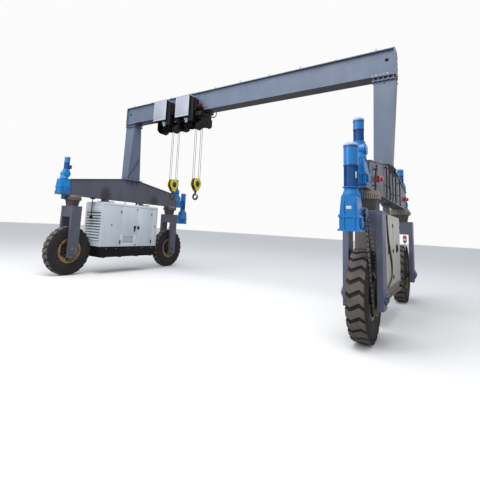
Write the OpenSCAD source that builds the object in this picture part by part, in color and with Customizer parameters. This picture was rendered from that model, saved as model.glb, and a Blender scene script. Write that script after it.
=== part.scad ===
// Rubber tyred gantry crane: one box girder on two tapered legs, each leg on an end beam
// that stands on two steerable wheels. Millimetres. X runs along the girder, Y along the
// end beams, Z up, with the origin on the ground under the middle of the girder.

/* [Wheels] */
// Distance between the wheel planes of the two sides
track = 7880; // [6500:10:9500]
// Distance between the two axles of one side
wheelbase = 4200; // [3900:10:5200]
// Outside diameter of the tyre
tyre_d = 1370; // [1300:5:1400]
// Width of the tyre at its sidewalls
tyre_w = 272; // [240:2:290]
// Width of the tread
tread_w = 246; // [200:2:260]
// Height of a tread lug
lug_h = 27; // [15:1:40]
// Number of lugs round the tread
lug_count = 24; // [16:1:28]
// Diameter of the rim at the tyre bead
bead_d = 640; // [580:5:700]
// Diameter of the wheel axle
axle_d = 90; // [60:2:110]

/* [Forks] */
// Gap between the two legs of a fork
fork_gap = 392; // [370:2:430]
// Thickness of a fork leg
fork_leg_t = 84; // [60:2:100]
// Depth of a fork leg along the end beam
fork_depth = 308; // [240:2:340]
// Height of the top of the fork
fork_top_z = 1947; // [1850:1:1980]
// Height of the bridge box that joins the fork legs
bridge_h = 313; // [200:1:330]
// How far a fork leg reaches below the axle
fork_drop = 184; // [150:1:220]

/* [Slewing] */
// Outside radius of the toothed slewing ring
gear_r = 246; // [220:1:260]
// Number of teeth of the slewing ring
gear_teeth = 48; // [36:1:60]
// Thickness of the toothed slewing ring
gear_t = 78; // [50:1:90]
// Distance from the wheel's steering axis to the steering drive
steer_offset = 310; // [300:1:330]

/* [End beams] */
// Height of the underside of the end beams
beam_z = 2250; // [2230:1:2320]
// Width of the end beam box
beam_w = 250; // [200:2:300]
// Height of the end beam at its ends
beam_end_h = 468; // [400:2:520]
// Height of the end beam in the middle
beam_mid_h = 725; // [650:5:800]
// Length of the flat top in the middle of the end beam
beam_flat_l = 900; // [860:10:1300]
// Thickness of the plates of beams and girder
plate_t = 22; // [12:1:30]

/* [Legs] */
// Width of a leg at its top, along the girder
leg_top_w = 420; // [340:5:480]
// Width of a leg at its foot, along the girder
leg_foot_w = 290; // [240:5:330]
// Depth of a leg at its top, along the end beam
leg_top_d = 312; // [260:2:340]
// Depth of a leg at its foot, along the end beam
leg_foot_d = 560; // [480:10:660]

/* [Girder] */
// Height of the underside of the girder
girder_z = 4960; // [4700:10:5400]
// Height of the girder
girder_h = 590; // [500:10:700]
// How far the girder reaches past a wheel plane
girder_overhang = 260; // [255:5:450]
// Width of the girder box
girder_w = 260; // [220:2:300]
// Width of the girder flanges
flange_w = 370; // [350:2:400]
// Height of the bolted leg head under the girder
head_h = 112; // [80:2:140]

/* [Generating set] */
// Length of the generating set
gen_l = 2310; // [2000:10:2400]
// Width of the generating set
gen_w = 880; // [800:10:960]
// Height of its white housing
gen_h = 1327; // [1200:5:1400]
// Height of its black base
gen_base_h = 330; // [250:5:380]
// Gap between its front end and the front tyre
gen_gap = 35; // [30:5:120]

/* [Cabinet] */
// Length of the electrical cabinet
cab_l = 2050; // [1800:10:2200]
// Depth of the electrical cabinet
cab_w = 470; // [400:10:560]
// Height of the electrical cabinet
cab_h = 1310; // [1200:10:1400]
// Height of the channel frame under it
cab_base_h = 180; // [120:5:220]

/* [Hoists] */
// Place of the hook of the left hoist along the girder
hook_1_x = -1970; // [-2400:10:-1960]
// Distance between the hooks of the two hoists
hook_pitch = 905; // [900:5:1200]
// Length of a hoist frame
hoist_l = 870; // [800:5:880]
// Radius of the rope drum
drum_r = 130; // [110:1:135]
// Height of the sheave axis of the hook blocks
block_z = 2790; // [2600:10:3000]
// Radius of a sheave at its rope groove
sheave_r = 130; // [110:1:140]
// Diameter of the hoist rope
rope_d = 13; // [9:1:16]

/* [Hidden] */
$fn = 48;
run_gap = 5;
seat_gap = 0.3;
pin_gap = 0.3;
axle_z = tyre_d / 2;
wheel_y = wheelbase / 2;
wheel_x = track / 2;
fork_half = fork_gap / 2 + fork_leg_t;
fork_foot_z = axle_z - fork_drop;
ring_z = beam_z - 50;
gear_z = ring_z - seat_gap - gear_t;
pivot_r = 60;
steer_y = wheel_y + steer_offset;
beam_half = wheel_y + 180;
plate_half = wheel_y + 510;
beam_top = beam_z + beam_mid_h;
leg_inner = wheel_x - 170;
girder_half = wheel_x + girder_overhang;
clip_count = 10;
clip_first = girder_half - 363;
leg_foot_z = beam_top + plate_t;
leg_top_z = girder_z - head_h;
girder_top = girder_z + girder_h;
gen_top = beam_z - 116;
gen_x = -wheel_x + 520 - gen_w / 2;
gen_shift = wheel_y - tyre_d / 2 - gen_gap - gen_l / 2;
gen_front = -gen_shift - gen_l / 2;
cab_top = beam_z - 275;
cab_x = wheel_x - 105;
cab_y = -170;
travel_y = 800;
stop_rise = 190;
hoist_end = 285;
box_drop = 190;
guard_x = fork_gap / 2 - 38;
guard_t = 6;
chain_t = 18;
chain_h = 18;
sprocket_r = 60;
chain_wheel_r = 262;
bridge_inset = 8;
bead_x = tread_w * 0.40;
lip_r = bead_d / 2 + 34;
pinion_r = steer_offset - gear_r - run_gap;
pinion_shaft_r = 34;
drum_x = -90;
hub_half = fork_gap / 2 - run_gap;
drum_z = girder_z - 350;
roller_r = 58;
roller_w = 34;
side_y = flange_w / 2 + 20;
side_t = 14;
hook_2_x = hook_1_x + hook_pitch;
rope_top = drum_z;

// Cable routes: the cable's radius, then its places along Y and Z
beam_routes = [
    [16, [[40 - wheel_y, 2262], [50 - wheel_y, 2400], [115 - wheel_y, 2560], [200 - wheel_y, 2700]]],
    [12, [[-960, 2262], [-930, 2420], [-900, 2600], [-930, 2780], [-900, 2900]]],
    [14, [[-560, 2262], [-580, 2420], [-640, 2620], [-600, 2800], [-640, 2950]]],
    [10, [[-180, 2262], [-150, 2480], [-200, 2700], [-160, 2960]]],
    [14, [[210, 2262], [190, 2480], [240, 2700], [180, 2960]]],
    [12, [[900, 2262], [860, 2420], [880, 2600], [800, 2860]]]
];
cabinet_routes = [
    [11, [[-920, 1960], [-880, 1700], [-790, 1450], [-560, 1180], [-430, 960], [-560, 780], [-900, 690]]],
    [9, [[-860, 1960], [-800, 1720], [-640, 1420], [-420, 1200], [-330, 980], [-420, 790], [-700, 700]]]
];
leg_route = [[-320, 3010], [-218, 3154], [-70, 3350], [60, 3560], [150, 3760]];

// A disc or shaft along X, centred in its length
module shaft_x(r, l, x = 0, y = 0, z = 0) {
    translate([x, y, z]) rotate([0, 90, 0]) cylinder(r = r, h = l, center = true);
}

// A shaft along Y, centred in its length
module shaft_y(r, l, x = 0, y = 0, z = 0) {
    translate([x, y, z]) rotate([90, 0, 0]) cylinder(r = r, h = l, center = true);
}

// A box given by its low corner and its size
module block(x, y, z, w, d, h) {
    translate([x, y, z]) cube([w, d, h]);
}

// A box centred in X and Y that stands on z
module stand(x, y, z, w, d, h) {
    translate([x - w / 2, y - d / 2, z]) cube([w, d, h]);
}

// An outline in the YZ plane, pushed along X about x
module slab_x(points, t, x = 0) {
    translate([x - t / 2, 0, 0]) rotate([90, 0, 90]) linear_extrude(t) polygon(points);
}

// An outline in the XZ plane, pushed along Y about y
module slab_y(points, t, y = 0) {
    translate([0, y + t / 2, 0]) rotate([90, 0, 0]) linear_extrude(t) polygon(points);
}

// Main girder: a closed box between two wider flanges, with a round hole near each end
module main_girder() {
    web_h = girder_h - 2 * plate_t;
    color([0.46, 0.53, 0.65]) difference() {
        union() {
            stand(0, 0, girder_z, 2 * girder_half, flange_w, plate_t);
            stand(0, 0, girder_z + plate_t, 2 * girder_half - 40, girder_w, web_h);
            stand(0, 0, girder_top - plate_t, 2 * girder_half, flange_w, plate_t);
            for (side = [-1, 1]) {
                end_plate(side);
            }
            flange_clips();
        }
        for (side = [-1, 1]) {
            shaft_y(38, flange_w, side * (girder_half - 165), 0, girder_z + girder_h * 0.6);
        }
        flange_clips(8, 60);
    }
}

// Row of small cable clips on the front edge of the top flange, or the holes through them
module flange_clips(hole_r = 0, hole_l = 0) {
    for (i = [0 : clip_count - 1]) {
        x = clip_first * (2 * i / (clip_count - 1) - 1);
        if (hole_r > 0) {
            shaft_y(hole_r, hole_l, x, 8 - flange_w / 2, girder_top + 32);
        } else {
            stand(x, 8 - flange_w / 2, girder_top, 44, 16, 52);
        }
    }
}

// Closing plate at one end of the girder
module end_plate(side) {
    stand(side * (girder_half - 12), 0, girder_z, 24, flange_w, girder_h);
}

// Leg: a box that widens upwards along the girder and narrows along the end beam,
// with a bolted foot flange and a ribbed head under the girder
module leg(side) {
    inner = leg_inner;
    color([0.46, 0.53, 0.65]) mirror([side < 0 ? 1 : 0, 0, 0]) {
        intersection() {
            slab_y([[inner, leg_foot_z], [inner + leg_foot_w, leg_foot_z],
                    [inner + leg_top_w, leg_top_z], [inner, leg_top_z]], 2 * leg_foot_d);
            slab_x([[-leg_foot_d / 2, leg_foot_z], [leg_foot_d / 2, leg_foot_z],
                    [leg_top_d / 2, leg_top_z], [-leg_top_d / 2, leg_top_z]],
                   2 * track);
        }
        leg_foot(inner);
        leg_head(inner);
    }
}

// Foot flange of a leg with its stiffening ribs
module leg_foot(inner) {
    mid = inner + leg_foot_w / 2;
    stand(mid, 0, beam_top, leg_foot_w + 100, leg_foot_d + 150, plate_t);
    for (y = [-0.36, 0, 0.36]) {
        slab_y([[inner, leg_foot_z], [inner, leg_foot_z + 130], [inner - 44, leg_foot_z]],
               14, y * leg_foot_d);
    }
    for (side = [-1, 1]) {
        slab_x([[side * leg_foot_d / 2, leg_foot_z], [side * (leg_foot_d / 2 - 8), leg_foot_z + 120],
                [side * (leg_foot_d / 2 + 66), leg_foot_z]], 14, mid);
    }
}

// Head of a leg: two plates with upright ribs between them, and gussets beside the leg
module leg_head(inner) {
    low = inner - 30;
    w = girder_half - low - 4;
    mid = low + w / 2;
    depth = flange_w + 30;
    stand(mid, 0, leg_top_z, w, depth, plate_t);
    stand(mid, 0, girder_z - plate_t, w, depth, plate_t);
    stand(mid, 0, leg_top_z + plate_t, w - 70, leg_top_d - 40, head_h - 2 * plate_t);
    for (i = [0 : 4]) {
        stand(low + 40 + i * (w - 80) / 4, 0, leg_top_z + plate_t, 14, depth - 24,
              head_h - 2 * plate_t);
    }
    slab_y([[inner, leg_top_z], [low, leg_top_z], [inner, leg_top_z - 110]], 14);
    slab_x([[-leg_top_d / 2, leg_top_z], [-depth / 2, leg_top_z], [-leg_top_d / 2 - 4, leg_top_z - 90]],
           14, inner + leg_top_w / 2);
    slab_x([[leg_top_d / 2, leg_top_z], [depth / 2, leg_top_z], [leg_top_d / 2 + 4, leg_top_z - 90]],
           14, inner + leg_top_w / 2);
}

// End beam: a box with a flat middle and sloping ends, and a bottom plate that runs on
// past the box to carry the steering drives
module end_beam(side) {
    flat = beam_flat_l / 2;
    top = beam_top - plate_t;
    end_top = beam_z + beam_end_h - plate_t;
    color([0.40, 0.43, 0.52]) translate([side * wheel_x, 0, 0]) {
        slab_x([[-beam_half, beam_z], [beam_half, beam_z], [beam_half, end_top], [flat, top],
                [-flat, top], [-beam_half, end_top]], beam_w);
        slab_x([[-beam_half, end_top], [-flat, top], [flat, top], [beam_half, end_top],
                [beam_half, end_top + plate_t], [flat, beam_top], [-flat, beam_top],
                [-beam_half, end_top + plate_t]], beam_w + 44);
        difference() {
            stand(0, 0, beam_z, beam_w + 44, 2 * plate_half, plate_t + 3);
            for (sy = [-1, 1]) {
                translate([0, sy * steer_y, beam_z - 1])
                    cylinder(r = pinion_shaft_r + pin_gap, h = plate_t + 5);
            }
        }
        for (y = [-0.36, 0, 0.36], face = [-1, 1]) {
            slab_y([[face * beam_w / 2, top], [face * (beam_w / 2 + 22), top],
                    [face * (beam_w / 2 + 22), top - 60], [face * beam_w / 2, top - 170]],
                   14, y * leg_foot_d);
        }
    }
}

// Upper slewing rings, bolted under the end beams over each wheel
module slewing_rings() {
    color([0.45, 0.40, 0.36]) for (sx = [-1, 1], sy = [-1, 1]) {
        translate([sx * wheel_x, sy * wheel_y, ring_z]) difference() {
            cylinder(r = gear_r - 26, h = beam_z - ring_z);
            translate([0, 0, -1]) cylinder(r = pivot_r + pin_gap, h = beam_z - ring_z + 2);
        }
    }
}

// Steering drive on the end of a beam: gear case, bevel stage and upright motor.
// It is drawn for a drive at the front and turned for one at the back.
module steer_drive(sx, sy) {
    z0 = beam_z + plate_t + 3;
    case_h = beam_z + beam_end_h - z0;
    case_z = z0 + 30;
    color([0.14, 0.51, 0.80]) translate([sx * wheel_x, sy * steer_y, 0])
    rotate([0, 0, sy > 0 ? 180 : 0]) {
        translate([0, -30, z0]) cylinder(r = 130, h = 30);
        stand(0, -40, z0, 270, 300, 30);
        translate([0, -40, case_z]) gear_case(250, 300, case_h - 60);
        translate([0, -40, case_z + case_h - 60]) cylinder(r = 118, h = 34);
        translate([0, -40, case_z + case_h - 26]) cylinder(r1 = 118, r2 = 96, h = 70);
        shaft_x(104, 196, 0, -10, case_z + case_h + 96);
        shaft_x(70, 236, 0, -10, case_z + case_h + 96);
        translate([0, 0, case_z + case_h + 150]) cylinder(r = 96, h = 70);
        motor(case_z + case_h + 220, 78, 390);
        translate([0, 0, ring_z]) cylinder(r = pinion_shaft_r, h = z0 - ring_z + 10);
        pinion();
    }
}

// Cast gear case that narrows upwards: a rib round its middle, a round bearing cover on each
// side, two upright ribs on its outer face and a foot
module gear_case(w, d, h) {
    waist = 0.42 * h;
    stand(0, 0, 0, w + 40, d + 30, 24);
    slab_y([[-w / 2, 0], [w / 2, 0], [w / 2, waist], [0.40 * w, h], [-0.40 * w, h], [-w / 2, waist]], d);
    stand(0, 0, waist - 16, w + 26, d + 26, 32);
    shaft_x(0.30 * w, w + 34, 0, 0, 0.5 * waist + 14);
    shaft_x(0.18 * w, w + 50, 0, 0, 0.5 * waist + 14);
    for (x = [-0.27, 0.27]) {
        slab_x([[-d / 2, 0], [-d / 2 - 13, 0], [-d / 2 - 13, 0.8 * h], [-d / 2, 0.95 * h]], 16, x * w);
    }
}

// Pinion of a steering drive, beside the toothed ring under the beam
module pinion() {
    teeth = 12;
    difference() {
        translate([0, 0, gear_z]) cylinder(r = pinion_r, h = beam_z - gear_z - 2 * seat_gap);
        for (i = [0 : teeth - 1]) {
            rotate([0, 0, (i + 0.5) * 360 / teeth])
                translate([pinion_r - 12, 0, gear_z - 1]) linear_extrude(gear_t + 2)
                    polygon([[0, -3], [0, 3], [16, 7], [16, -7]]);
        }
    }
}

// Upright motor: flange, finned body, cowl and a domed cap
module motor(z, r, h) {
    body_h = h * 0.46;
    fins = 28;
    translate([0, 0, z]) cylinder(r = r * 1.14, h = 14);
    translate([0, 0, z + 14]) cylinder(r = r * 0.86, h = body_h);
    for (i = [0 : fins - 1]) {
        rotate([0, 0, i * 360 / fins]) block(r * 0.5, -2, z + 20, r * 0.47, 4, body_h - 12);
    }
    translate([0, 0, z + 14 + body_h]) cylinder(r = r, h = h - body_h - 44);
    translate([0, 0, z + h - 30]) cylinder(r1 = r, r2 = r * 0.7, h = 30);
}

// Generating set: bevelled white housing with lifting lugs, door recess and filler panel
module generator_housing() {
    z0 = gen_top - gen_h;
    edge = 34;
    color([0.76, 0.79, 0.82]) translate([gen_x, -gen_shift, 0]) {
        difference() {
            slab_y([[-gen_w / 2, z0], [gen_w / 2, z0], [gen_w / 2, gen_top - edge],
                    [gen_w / 2 - edge, gen_top], [-gen_w / 2 + edge, gen_top],
                    [-gen_w / 2, gen_top - edge]], gen_l);
            block(-gen_w / 2 + 90, -gen_l / 2 - 1, z0 + 170, gen_w - 180, 36, gen_h - 330);
            block(gen_w / 2 - 14, -0.15 * gen_l, z0 + 100, 20, 0.2 * gen_l, 240);
            for (side = [-1, 1], y = [-0.19, 0.105, 0.395]) {
                block(side * gen_w / 2 - 3, y * gen_l, z0 + 60, 6, 5, gen_h - 120);
            }
        }
        for (side = [-1, 1], y = [-0.34, -0.12, 0.12, 0.34]) {
            lifting_lug(side * (gen_w / 2 - 90), y * gen_l);
        }
    }
}

// Lifting lug on the roof of the generating set
module lifting_lug(x, y) {
    difference() {
        slab_x([[y - 40, gen_top], [y + 40, gen_top], [y + 24, gen_top + 62],
                [y - 24, gen_top + 62]], 12, x);
        shaft_x(12, 40, x, y, gen_top + 38);
    }
}

// Slanting louvre blades over the air inlet at the front end of the generating set
module generator_louvre() {
    z0 = gen_top - gen_h + 170;
    blades = 12;
    pitch = (gen_h - 330) / blades;
    y = gen_front;
    color([0.70, 0.73, 0.76]) for (i = [0 : blades - 1]) {
        z = z0 + (i + 0.5) * pitch;
        slab_x([[y + 34.7, z + 26], [y + 34.7, z + 36], [y - 12, z - 22], [y - 12, z - 30],
                [y - 4, z - 30]], gen_w - 180 - 2 * seat_gap, gen_x);
    }
}

// Black base frame of the generating set: a tank between two side channels
module generator_base() {
    z0 = gen_top - gen_h - gen_base_h;
    color([0.07, 0.07, 0.08]) translate([gen_x, -gen_shift, 0]) {
        stand(0, 0, z0 + 30, gen_w - 60, gen_l - 40, gen_base_h - 30);
        for (side = [-1, 1]) {
            stand(side * (gen_w / 2 - 15), 0, z0 + 20, 30, gen_l, gen_base_h - 20);
        }
        for (y = [-0.42, -0.15, 0.15, 0.42]) {
            stand(0, y * gen_l, z0, gen_w - 30, 80, 40);
        }
    }
}

// Hangers that carry the generating set and the cabinet under the end beams
module hangers() {
    color([0.30, 0.32, 0.38]) {
        for (y = [-0.32, 0.32]) {
            generator_hanger(-gen_shift + y * gen_l);
        }
        for (y = [-0.30, 0.30]) {
            cabinet_hanger(cab_y + y * cab_l);
        }
    }
}

// One frame round the generating set's end: cross bar on the roof and bracket to the beam
module generator_hanger(y) {
    translate([gen_x, y, 0]) {
        stand(0, 0, gen_top, gen_w - 260, 120, 40);
        stand(-wheel_x - gen_x, 0, gen_top + 40, beam_w + 10, 120, beam_z - gen_top - 40);
    }
}

// One bracket from the beam down to the cabinet's roof
module cabinet_hanger(y) {
    drop = beam_z - cab_top;
    translate([0, y, cab_top]) {
        stand(wheel_x - 60, 0, 0, 130, 90, drop);
        stand(cab_x, 0, 0, cab_w - 80, 110, 30);
        stand(wheel_x - 30, 0, drop - 30, 240, 150, 30);
    }
}

// Electrical cabinet with a bevelled roof, seen from outside as one plain door side
module cabinet() {
    z0 = cab_top - cab_h;
    edge = 60;
    color([0.70, 0.69, 0.66]) translate([cab_x, cab_y, 0]) difference() {
        slab_x([[-cab_l / 2, z0], [cab_l / 2, z0], [cab_l / 2, cab_top - edge],
                [cab_l / 2 - edge, cab_top], [-cab_l / 2 + edge, cab_top],
                [-cab_l / 2, cab_top - edge]], cab_w);
        for (side = [-1, 1], i = [-1, 0, 1]) {
            block(side * cab_w / 2 - 2, i * cab_l / 4 - 2, z0 + 50, 4, 4, cab_h - 150);
        }
    }
}

// Channel frame under the cabinet
module cabinet_base() {
    z0 = cab_top - cab_h - cab_base_h;
    color([0.50, 0.44, 0.40]) translate([cab_x, cab_y, z0]) {
        for (side = [-1, 1]) {
            stand(side * (cab_w / 2 - 30), 0, 0, 12, cab_l - 20, cab_base_h);
            stand(side * (cab_w / 2 - 4), 0, 0, 60, cab_l - 20, 14);
            stand(side * (cab_w / 2 - 4), 0, cab_base_h - 14, 60, cab_l - 20, 14);
        }
        for (i = [-2 : 2]) {
            stand(0, i * cab_l * 0.235, 20, cab_w - 72, 60, cab_base_h - 40);
        }
    }
}

// Sensor on a rod that hangs from the left end beam
module sensor_rod() {
    y = gen_front - 120;
    x = -wheel_x + beam_w / 2 - 20;
    color([0.06, 0.06, 0.07]) {
        stand(x, y, beam_z - 46, 90, 110, 46);
        translate([x, y, beam_z - 560]) cylinder(r = 13, h = 520);
        stand(x, y, beam_z - 640, 56, 70, 90);
    }
}

// Emergency stop boxes on the outside of the right end beam
module stop_buttons() {
    color([0.80, 0.08, 0.08]) for (y = [320 - wheel_y, wheel_y - 302]) {
        x = wheel_x + beam_w / 2;
        z = beam_z + stop_rise;
        stand(x + 32, y, z, 64, 84, 100);
        shaft_x(24, 70, x + 60, y, z + 50);
    }
}

// Point i of a route, held at its ends
function held(route, i) = route[max(0, min(len(route) - 1, i))];

// A smooth curve through a route's points, with some steps between each two
function smooth(route, steps = 4) =
    [for (i = [0 : len(route) - 2], k = [0 : steps - (i < len(route) - 2 ? 1 : 0)])
        let (t = k / steps, a = held(route, i - 1), b = held(route, i), c = held(route, i + 1),
             d = held(route, i + 2))
        b + (c - a) * t / 2 + (2 * a - 5 * b + 4 * c - d) * t * t / 2
            + (3 * b - a - 3 * c + d) * t * t * t / 2];

// A cable that lies in a plane across X: one closed tube swept along its route
module cable(x, route, r) {
    sides = 8;
    path = smooth(route);
    rings = len(path);
    points = [for (i = [0 : rings - 1])
        let (along = held(path, i + 1) - held(path, i - 1), n = [-along[1], along[0]] / norm(along))
        for (k = [0 : sides - 1]) let (a = 360 * k / sides)
            [x + r * sin(a), path[i][0] + r * cos(a) * n[0], path[i][1] + r * cos(a) * n[1]]];
    walls = [for (i = [0 : rings - 2], k = [0 : sides - 1])
        [i * sides + k, i * sides + (k + 1) % sides, (i + 1) * sides + (k + 1) % sides,
         (i + 1) * sides + k]];
    polyhedron(points, concat(walls, [[for (k = [sides - 1 : -1 : 0]) k],
        [for (k = [0 : sides - 1]) (rings - 1) * sides + k]]));
}

// Cables clipped to the outer face of the right end beam, to the cabinet and to the left leg
module cables() {
    beam_face = wheel_x + beam_w / 2;
    rim_face = beam_face + 22;
    cabinet_face = cab_x + cab_w / 2;
    color([0.06, 0.06, 0.07]) {
        for (route = beam_routes) {
            cable(rim_face + route[0] + seat_gap, route[1], route[0]);
        }
        for (route = cabinet_routes) {
            cable(cabinet_face + route[0] + seat_gap, route[1], route[0]);
        }
        cable(-leg_inner + 11 + seat_gap, leg_route, 11);
    }
}

// Fork over a wheel: two box legs, a bridge, a conical pedestal and the toothed ring.
// Its own frame has the wheel plane at x = 0, the steering axis at y = 0.
module fork(sx, sy) {
    bridge_z = fork_top_z - bridge_h;
    hub_r = 105;
    color([0.38, 0.41, 0.50]) translate([sx * wheel_x, sy * wheel_y, 0]) {
        difference() {
            union() {
                for (side = [-1, 1]) {
                    stand(side * (fork_gap / 2 + fork_leg_t / 2), 0, fork_foot_z,
                          fork_leg_t, fork_depth, fork_top_z - fork_foot_z);
                }
                stand(0, 0, bridge_z, fork_gap + 2, fork_depth - 2 * bridge_inset, bridge_h - 16);
                stand(0, 0, fork_top_z - 20, 2 * fork_half, fork_depth, 20);
                translate([0, 0, fork_top_z]) cylinder(r1 = 168, r2 = 205, h = gear_z - fork_top_z);
                slewing_gear();
                translate([0, 0, gear_z + gear_t]) cylinder(r = pivot_r, h = 40);
                for (side = [-1, 1]) {
                    shaft_x(hub_r, 26, side * (fork_half + 12), 0, axle_z);
                    shaft_x(62, 50, side * (fork_half + 24), 0, axle_z);
                }
                shaft_x(axle_d / 2, 2 * fork_half, 0, 0, axle_z);
            }
            for (side = [-1, 1], i = [0 : 7]) {
                rotate_about_axle(i * 45 + 22.5)
                    shaft_x(8, 30, side * (fork_half + 25), 0, 84);
            }
        }
    }
}

// Turns what follows about the axle, from a place over the axle
module rotate_about_axle(angle) {
    translate([0, 0, axle_z]) rotate([angle, 0, 0]) children();
}

// Toothed outer ring of the slewing bearing, with its tooth flanks cut as slots
module slewing_gear() {
    difference() {
        translate([0, 0, gear_z]) cylinder(r = gear_r, h = gear_t, $fn = 96);
        for (i = [0 : gear_teeth - 1]) {
            rotate([0, 0, (i + 0.5) * 360 / gear_teeth])
                translate([gear_r - 16, 0, gear_z - 1]) linear_extrude(gear_t + 2)
                    polygon([[0, -4], [0, 4], [20, 8], [20, -8]]);
        }
    }
}

// Half profile of the tyre: radius from the axle against distance from the wheel plane
function tyre_profile(top) = [
    [bead_d / 2, bead_x], [lip_r + 3, bead_x], [lip_r + 14, bead_x + 18],
    [lip_r + 60, tyre_w / 2 - 3], [lip_r + 130, tyre_w / 2],
    [top - 70, tyre_w / 2 - 3], [top - 24, tread_w / 2], [top, tread_w / 2 - 14],
    [top + 4, 0]
];

// A profile of radius against offset, mirrored about the wheel plane and turned about X
module turned(points) {
    other = [for (i = [len(points) - 1 : -1 : 0]) [points[i][0], -points[i][1]]];
    rotate([0, 90, 0]) rotate_extrude($fn = 96) polygon(concat(points, other));
}

// Tyre: a turned carcass with a ring of wavy lugs across the tread
module tyre(sx, sy) {
    base = tyre_d / 2 - lug_h;
    color([0.20, 0.18, 0.20]) translate([sx * wheel_x, sy * wheel_y, axle_z]) union() {
        turned(tyre_profile(base));
        intersection() {
            turned([[base - 26, tread_w / 2], [tyre_d / 2 - 8, tread_w / 2],
                    [tyre_d / 2 - 1.5, tread_w * 0.3], [tyre_d / 2, 0]]);
            for (i = [0 : lug_count - 1]) {
                rotate([i * 360 / lug_count, 0, 0]) lug(base - 24);
            }
        }
    }
}

// One lug, standing outwards along Z: its front edge runs down to a valley, up to a peak
// and down again across the tread
module lug(z) {
    pitch = 3.1416 * tyre_d / lug_count;
    half = 0.32 * pitch;
    wave = 0.20 * pitch;
    edge = tread_w / 2 + 1;
    crest = tread_w / 4;
    translate([0, 0, z]) linear_extrude(lug_h + 40) polygon([
        [-edge, -half + wave * 0.3], [-crest, -half - wave], [crest, -half + wave],
        [edge, -half - wave * 0.3], [edge, half - wave * 0.3], [crest, half + wave],
        [-crest, half - wave], [-edge, half + wave * 0.3]
    ]);
}

// Rim and hub of a wheel: barrel with two flanges, a dished disc and a bolted hub.
// A driven wheel also has a chain wheel on its outer side.
module rim(sx, sy, driven) {
    wall = 14;
    r = bead_d / 2 - seat_gap;
    half = bead_x + seat_gap;
    color([0.55, 0.43, 0.24]) translate([sx * wheel_x, sy * wheel_y, axle_z]) difference() {
        union() {
            rotate([0, 90, 0]) rotate_extrude($fn = 64) polygon([
                [r - wall, -half - 12], [lip_r, -half - 12], [lip_r, -half], [r, -half],
                [r, half], [lip_r, half], [lip_r, half + 12], [r - wall, half + 12]
            ]);
            shaft_x(r - wall + 1, 18, 24);
            shaft_x(130, 2 * half + 60);
            shaft_x(74, 2 * hub_half);
            shaft_x(168, 40, 24);
            if (driven) {
                chain_wheel(sx);
            }
        }
        shaft_x(axle_d / 2 + pin_gap, fork_gap);
        for (i = [0 : 9], side = [-1, 1]) {
            rotate([i * 36, 0, 0]) translate([side * (half + 30), 0, 106]) shaft_x(9, 22);
        }
        for (i = [0 : 5]) {
            rotate([i * 60, 0, 0]) translate([24, 0, 236]) shaft_x(40, 30);
        }
    }
}

// Chain wheel of a driven wheel: a toothed disc and the hub that carries it
module chain_wheel(sx) {
    teeth = 40;
    difference() {
        shaft_x(chain_wheel_r, 10, sx * guard_x);
        for (i = [0 : teeth - 1]) {
            rotate([i * 360 / teeth, 0, 0]) shaft_x(11, 12, sx * guard_x, 0, chain_wheel_r + 3);
        }
    }
    shaft_x(118, 60, sx * (guard_x - 25));
}

// Travel drive on a driven fork: bevel gear case bolted to the bridge, upright motor and
// the output shaft that drives the chain. It stands on the outer end of the crane.
module travel_drive(sx, sy) {
    z0 = fork_top_z - bridge_h - 20;
    case_h = 556;
    color([0.14, 0.51, 0.80]) translate([sx * wheel_x, sy * wheel_y, 0])
    rotate([0, 0, sy > 0 ? 180 : 0]) {
        front = -travel_y;
        bolt_y = -fork_depth / 2 + bridge_inset - seat_gap;
        slab_x([[bolt_y, z0 + 60], [bolt_y, fork_top_z - 24], [front + 60, fork_top_z + 30],
                [front + 60, z0 + 20]], 190);
        translate([0, front, z0]) gear_case(250, 260, case_h - 80);
        translate([0, front, z0 + case_h - 80]) cylinder(r = 118, h = 30);
        translate([0, front, z0 + case_h - 50]) cylinder(r1 = 112, r2 = 84, h = 90);
        shaft_x(92, 250, 0, front + 190, z0 + 250);
        translate([0, front, 0]) motor(z0 + case_h + 40, 98, 640);
        shaft_x(34, guard_x + 26, sx * sign_y(sy) * guard_x / 2, front + 190, z0 + 250);
        shaft_x(sprocket_r, 10, sx * sign_y(sy) * guard_x, front + 190, z0 + 250);
    }
}

// The sign that keeps the chain on the outer side when a drive is turned half round
function sign_y(sy) = sy > 0 ? -1 : 1;

// Points of an arc in the YZ plane, from one angle to another
function arc(c, r, from, to, steps) =
    [for (i = [0 : steps]) let (a = from + (to - from) * i / steps)
        [c[0] + r * cos(a), c[1] + r * sin(a)]];

// Outline of a loop drawn tight round two circles, the second one the larger
function loop_round(c1, r1, c2, r2) =
    let (d = atan2(c2[1] - c1[1], c2[0] - c1[0]), t = acos((r1 - r2) / norm(c2 - c1)))
    concat(arc(c2, r2, d - t, d + t, 32), arc(c1, r1, d + t, d + 360 - t, 14));

// Middle of a travel drive's output shaft, seen along X from the wheel's steering axis
function output_shaft() = [-travel_y + 190, fork_top_z - bridge_h - 20 + 250];

// Places a chain's parts beside the driven wheel, on the outer side of the crane
module beside_wheel(sx, sy, offset) {
    translate([sx * wheel_x, sy * wheel_y, 0]) rotate([0, 0, sy > 0 ? 180 : 0])
        translate([sx * sign_y(sy) * offset, 0, 0]) children();
}

// Drive chain of a wheel: one closed loop that seats on the drive's small chain wheel and
// runs round the large one with a running gap
module chain(sx, sy) {
    small = output_shaft();
    big = [0, axle_z];
    color([0.16, 0.14, 0.14]) beside_wheel(sx, sy, guard_x) difference() {
        slab_x(loop_round(small, sprocket_r + seat_gap + chain_h, big,
                          chain_wheel_r + run_gap + chain_h), chain_t);
        slab_x(loop_round(small, sprocket_r + seat_gap, big, chain_wheel_r + run_gap), chain_t + 2);
    }
}

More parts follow.
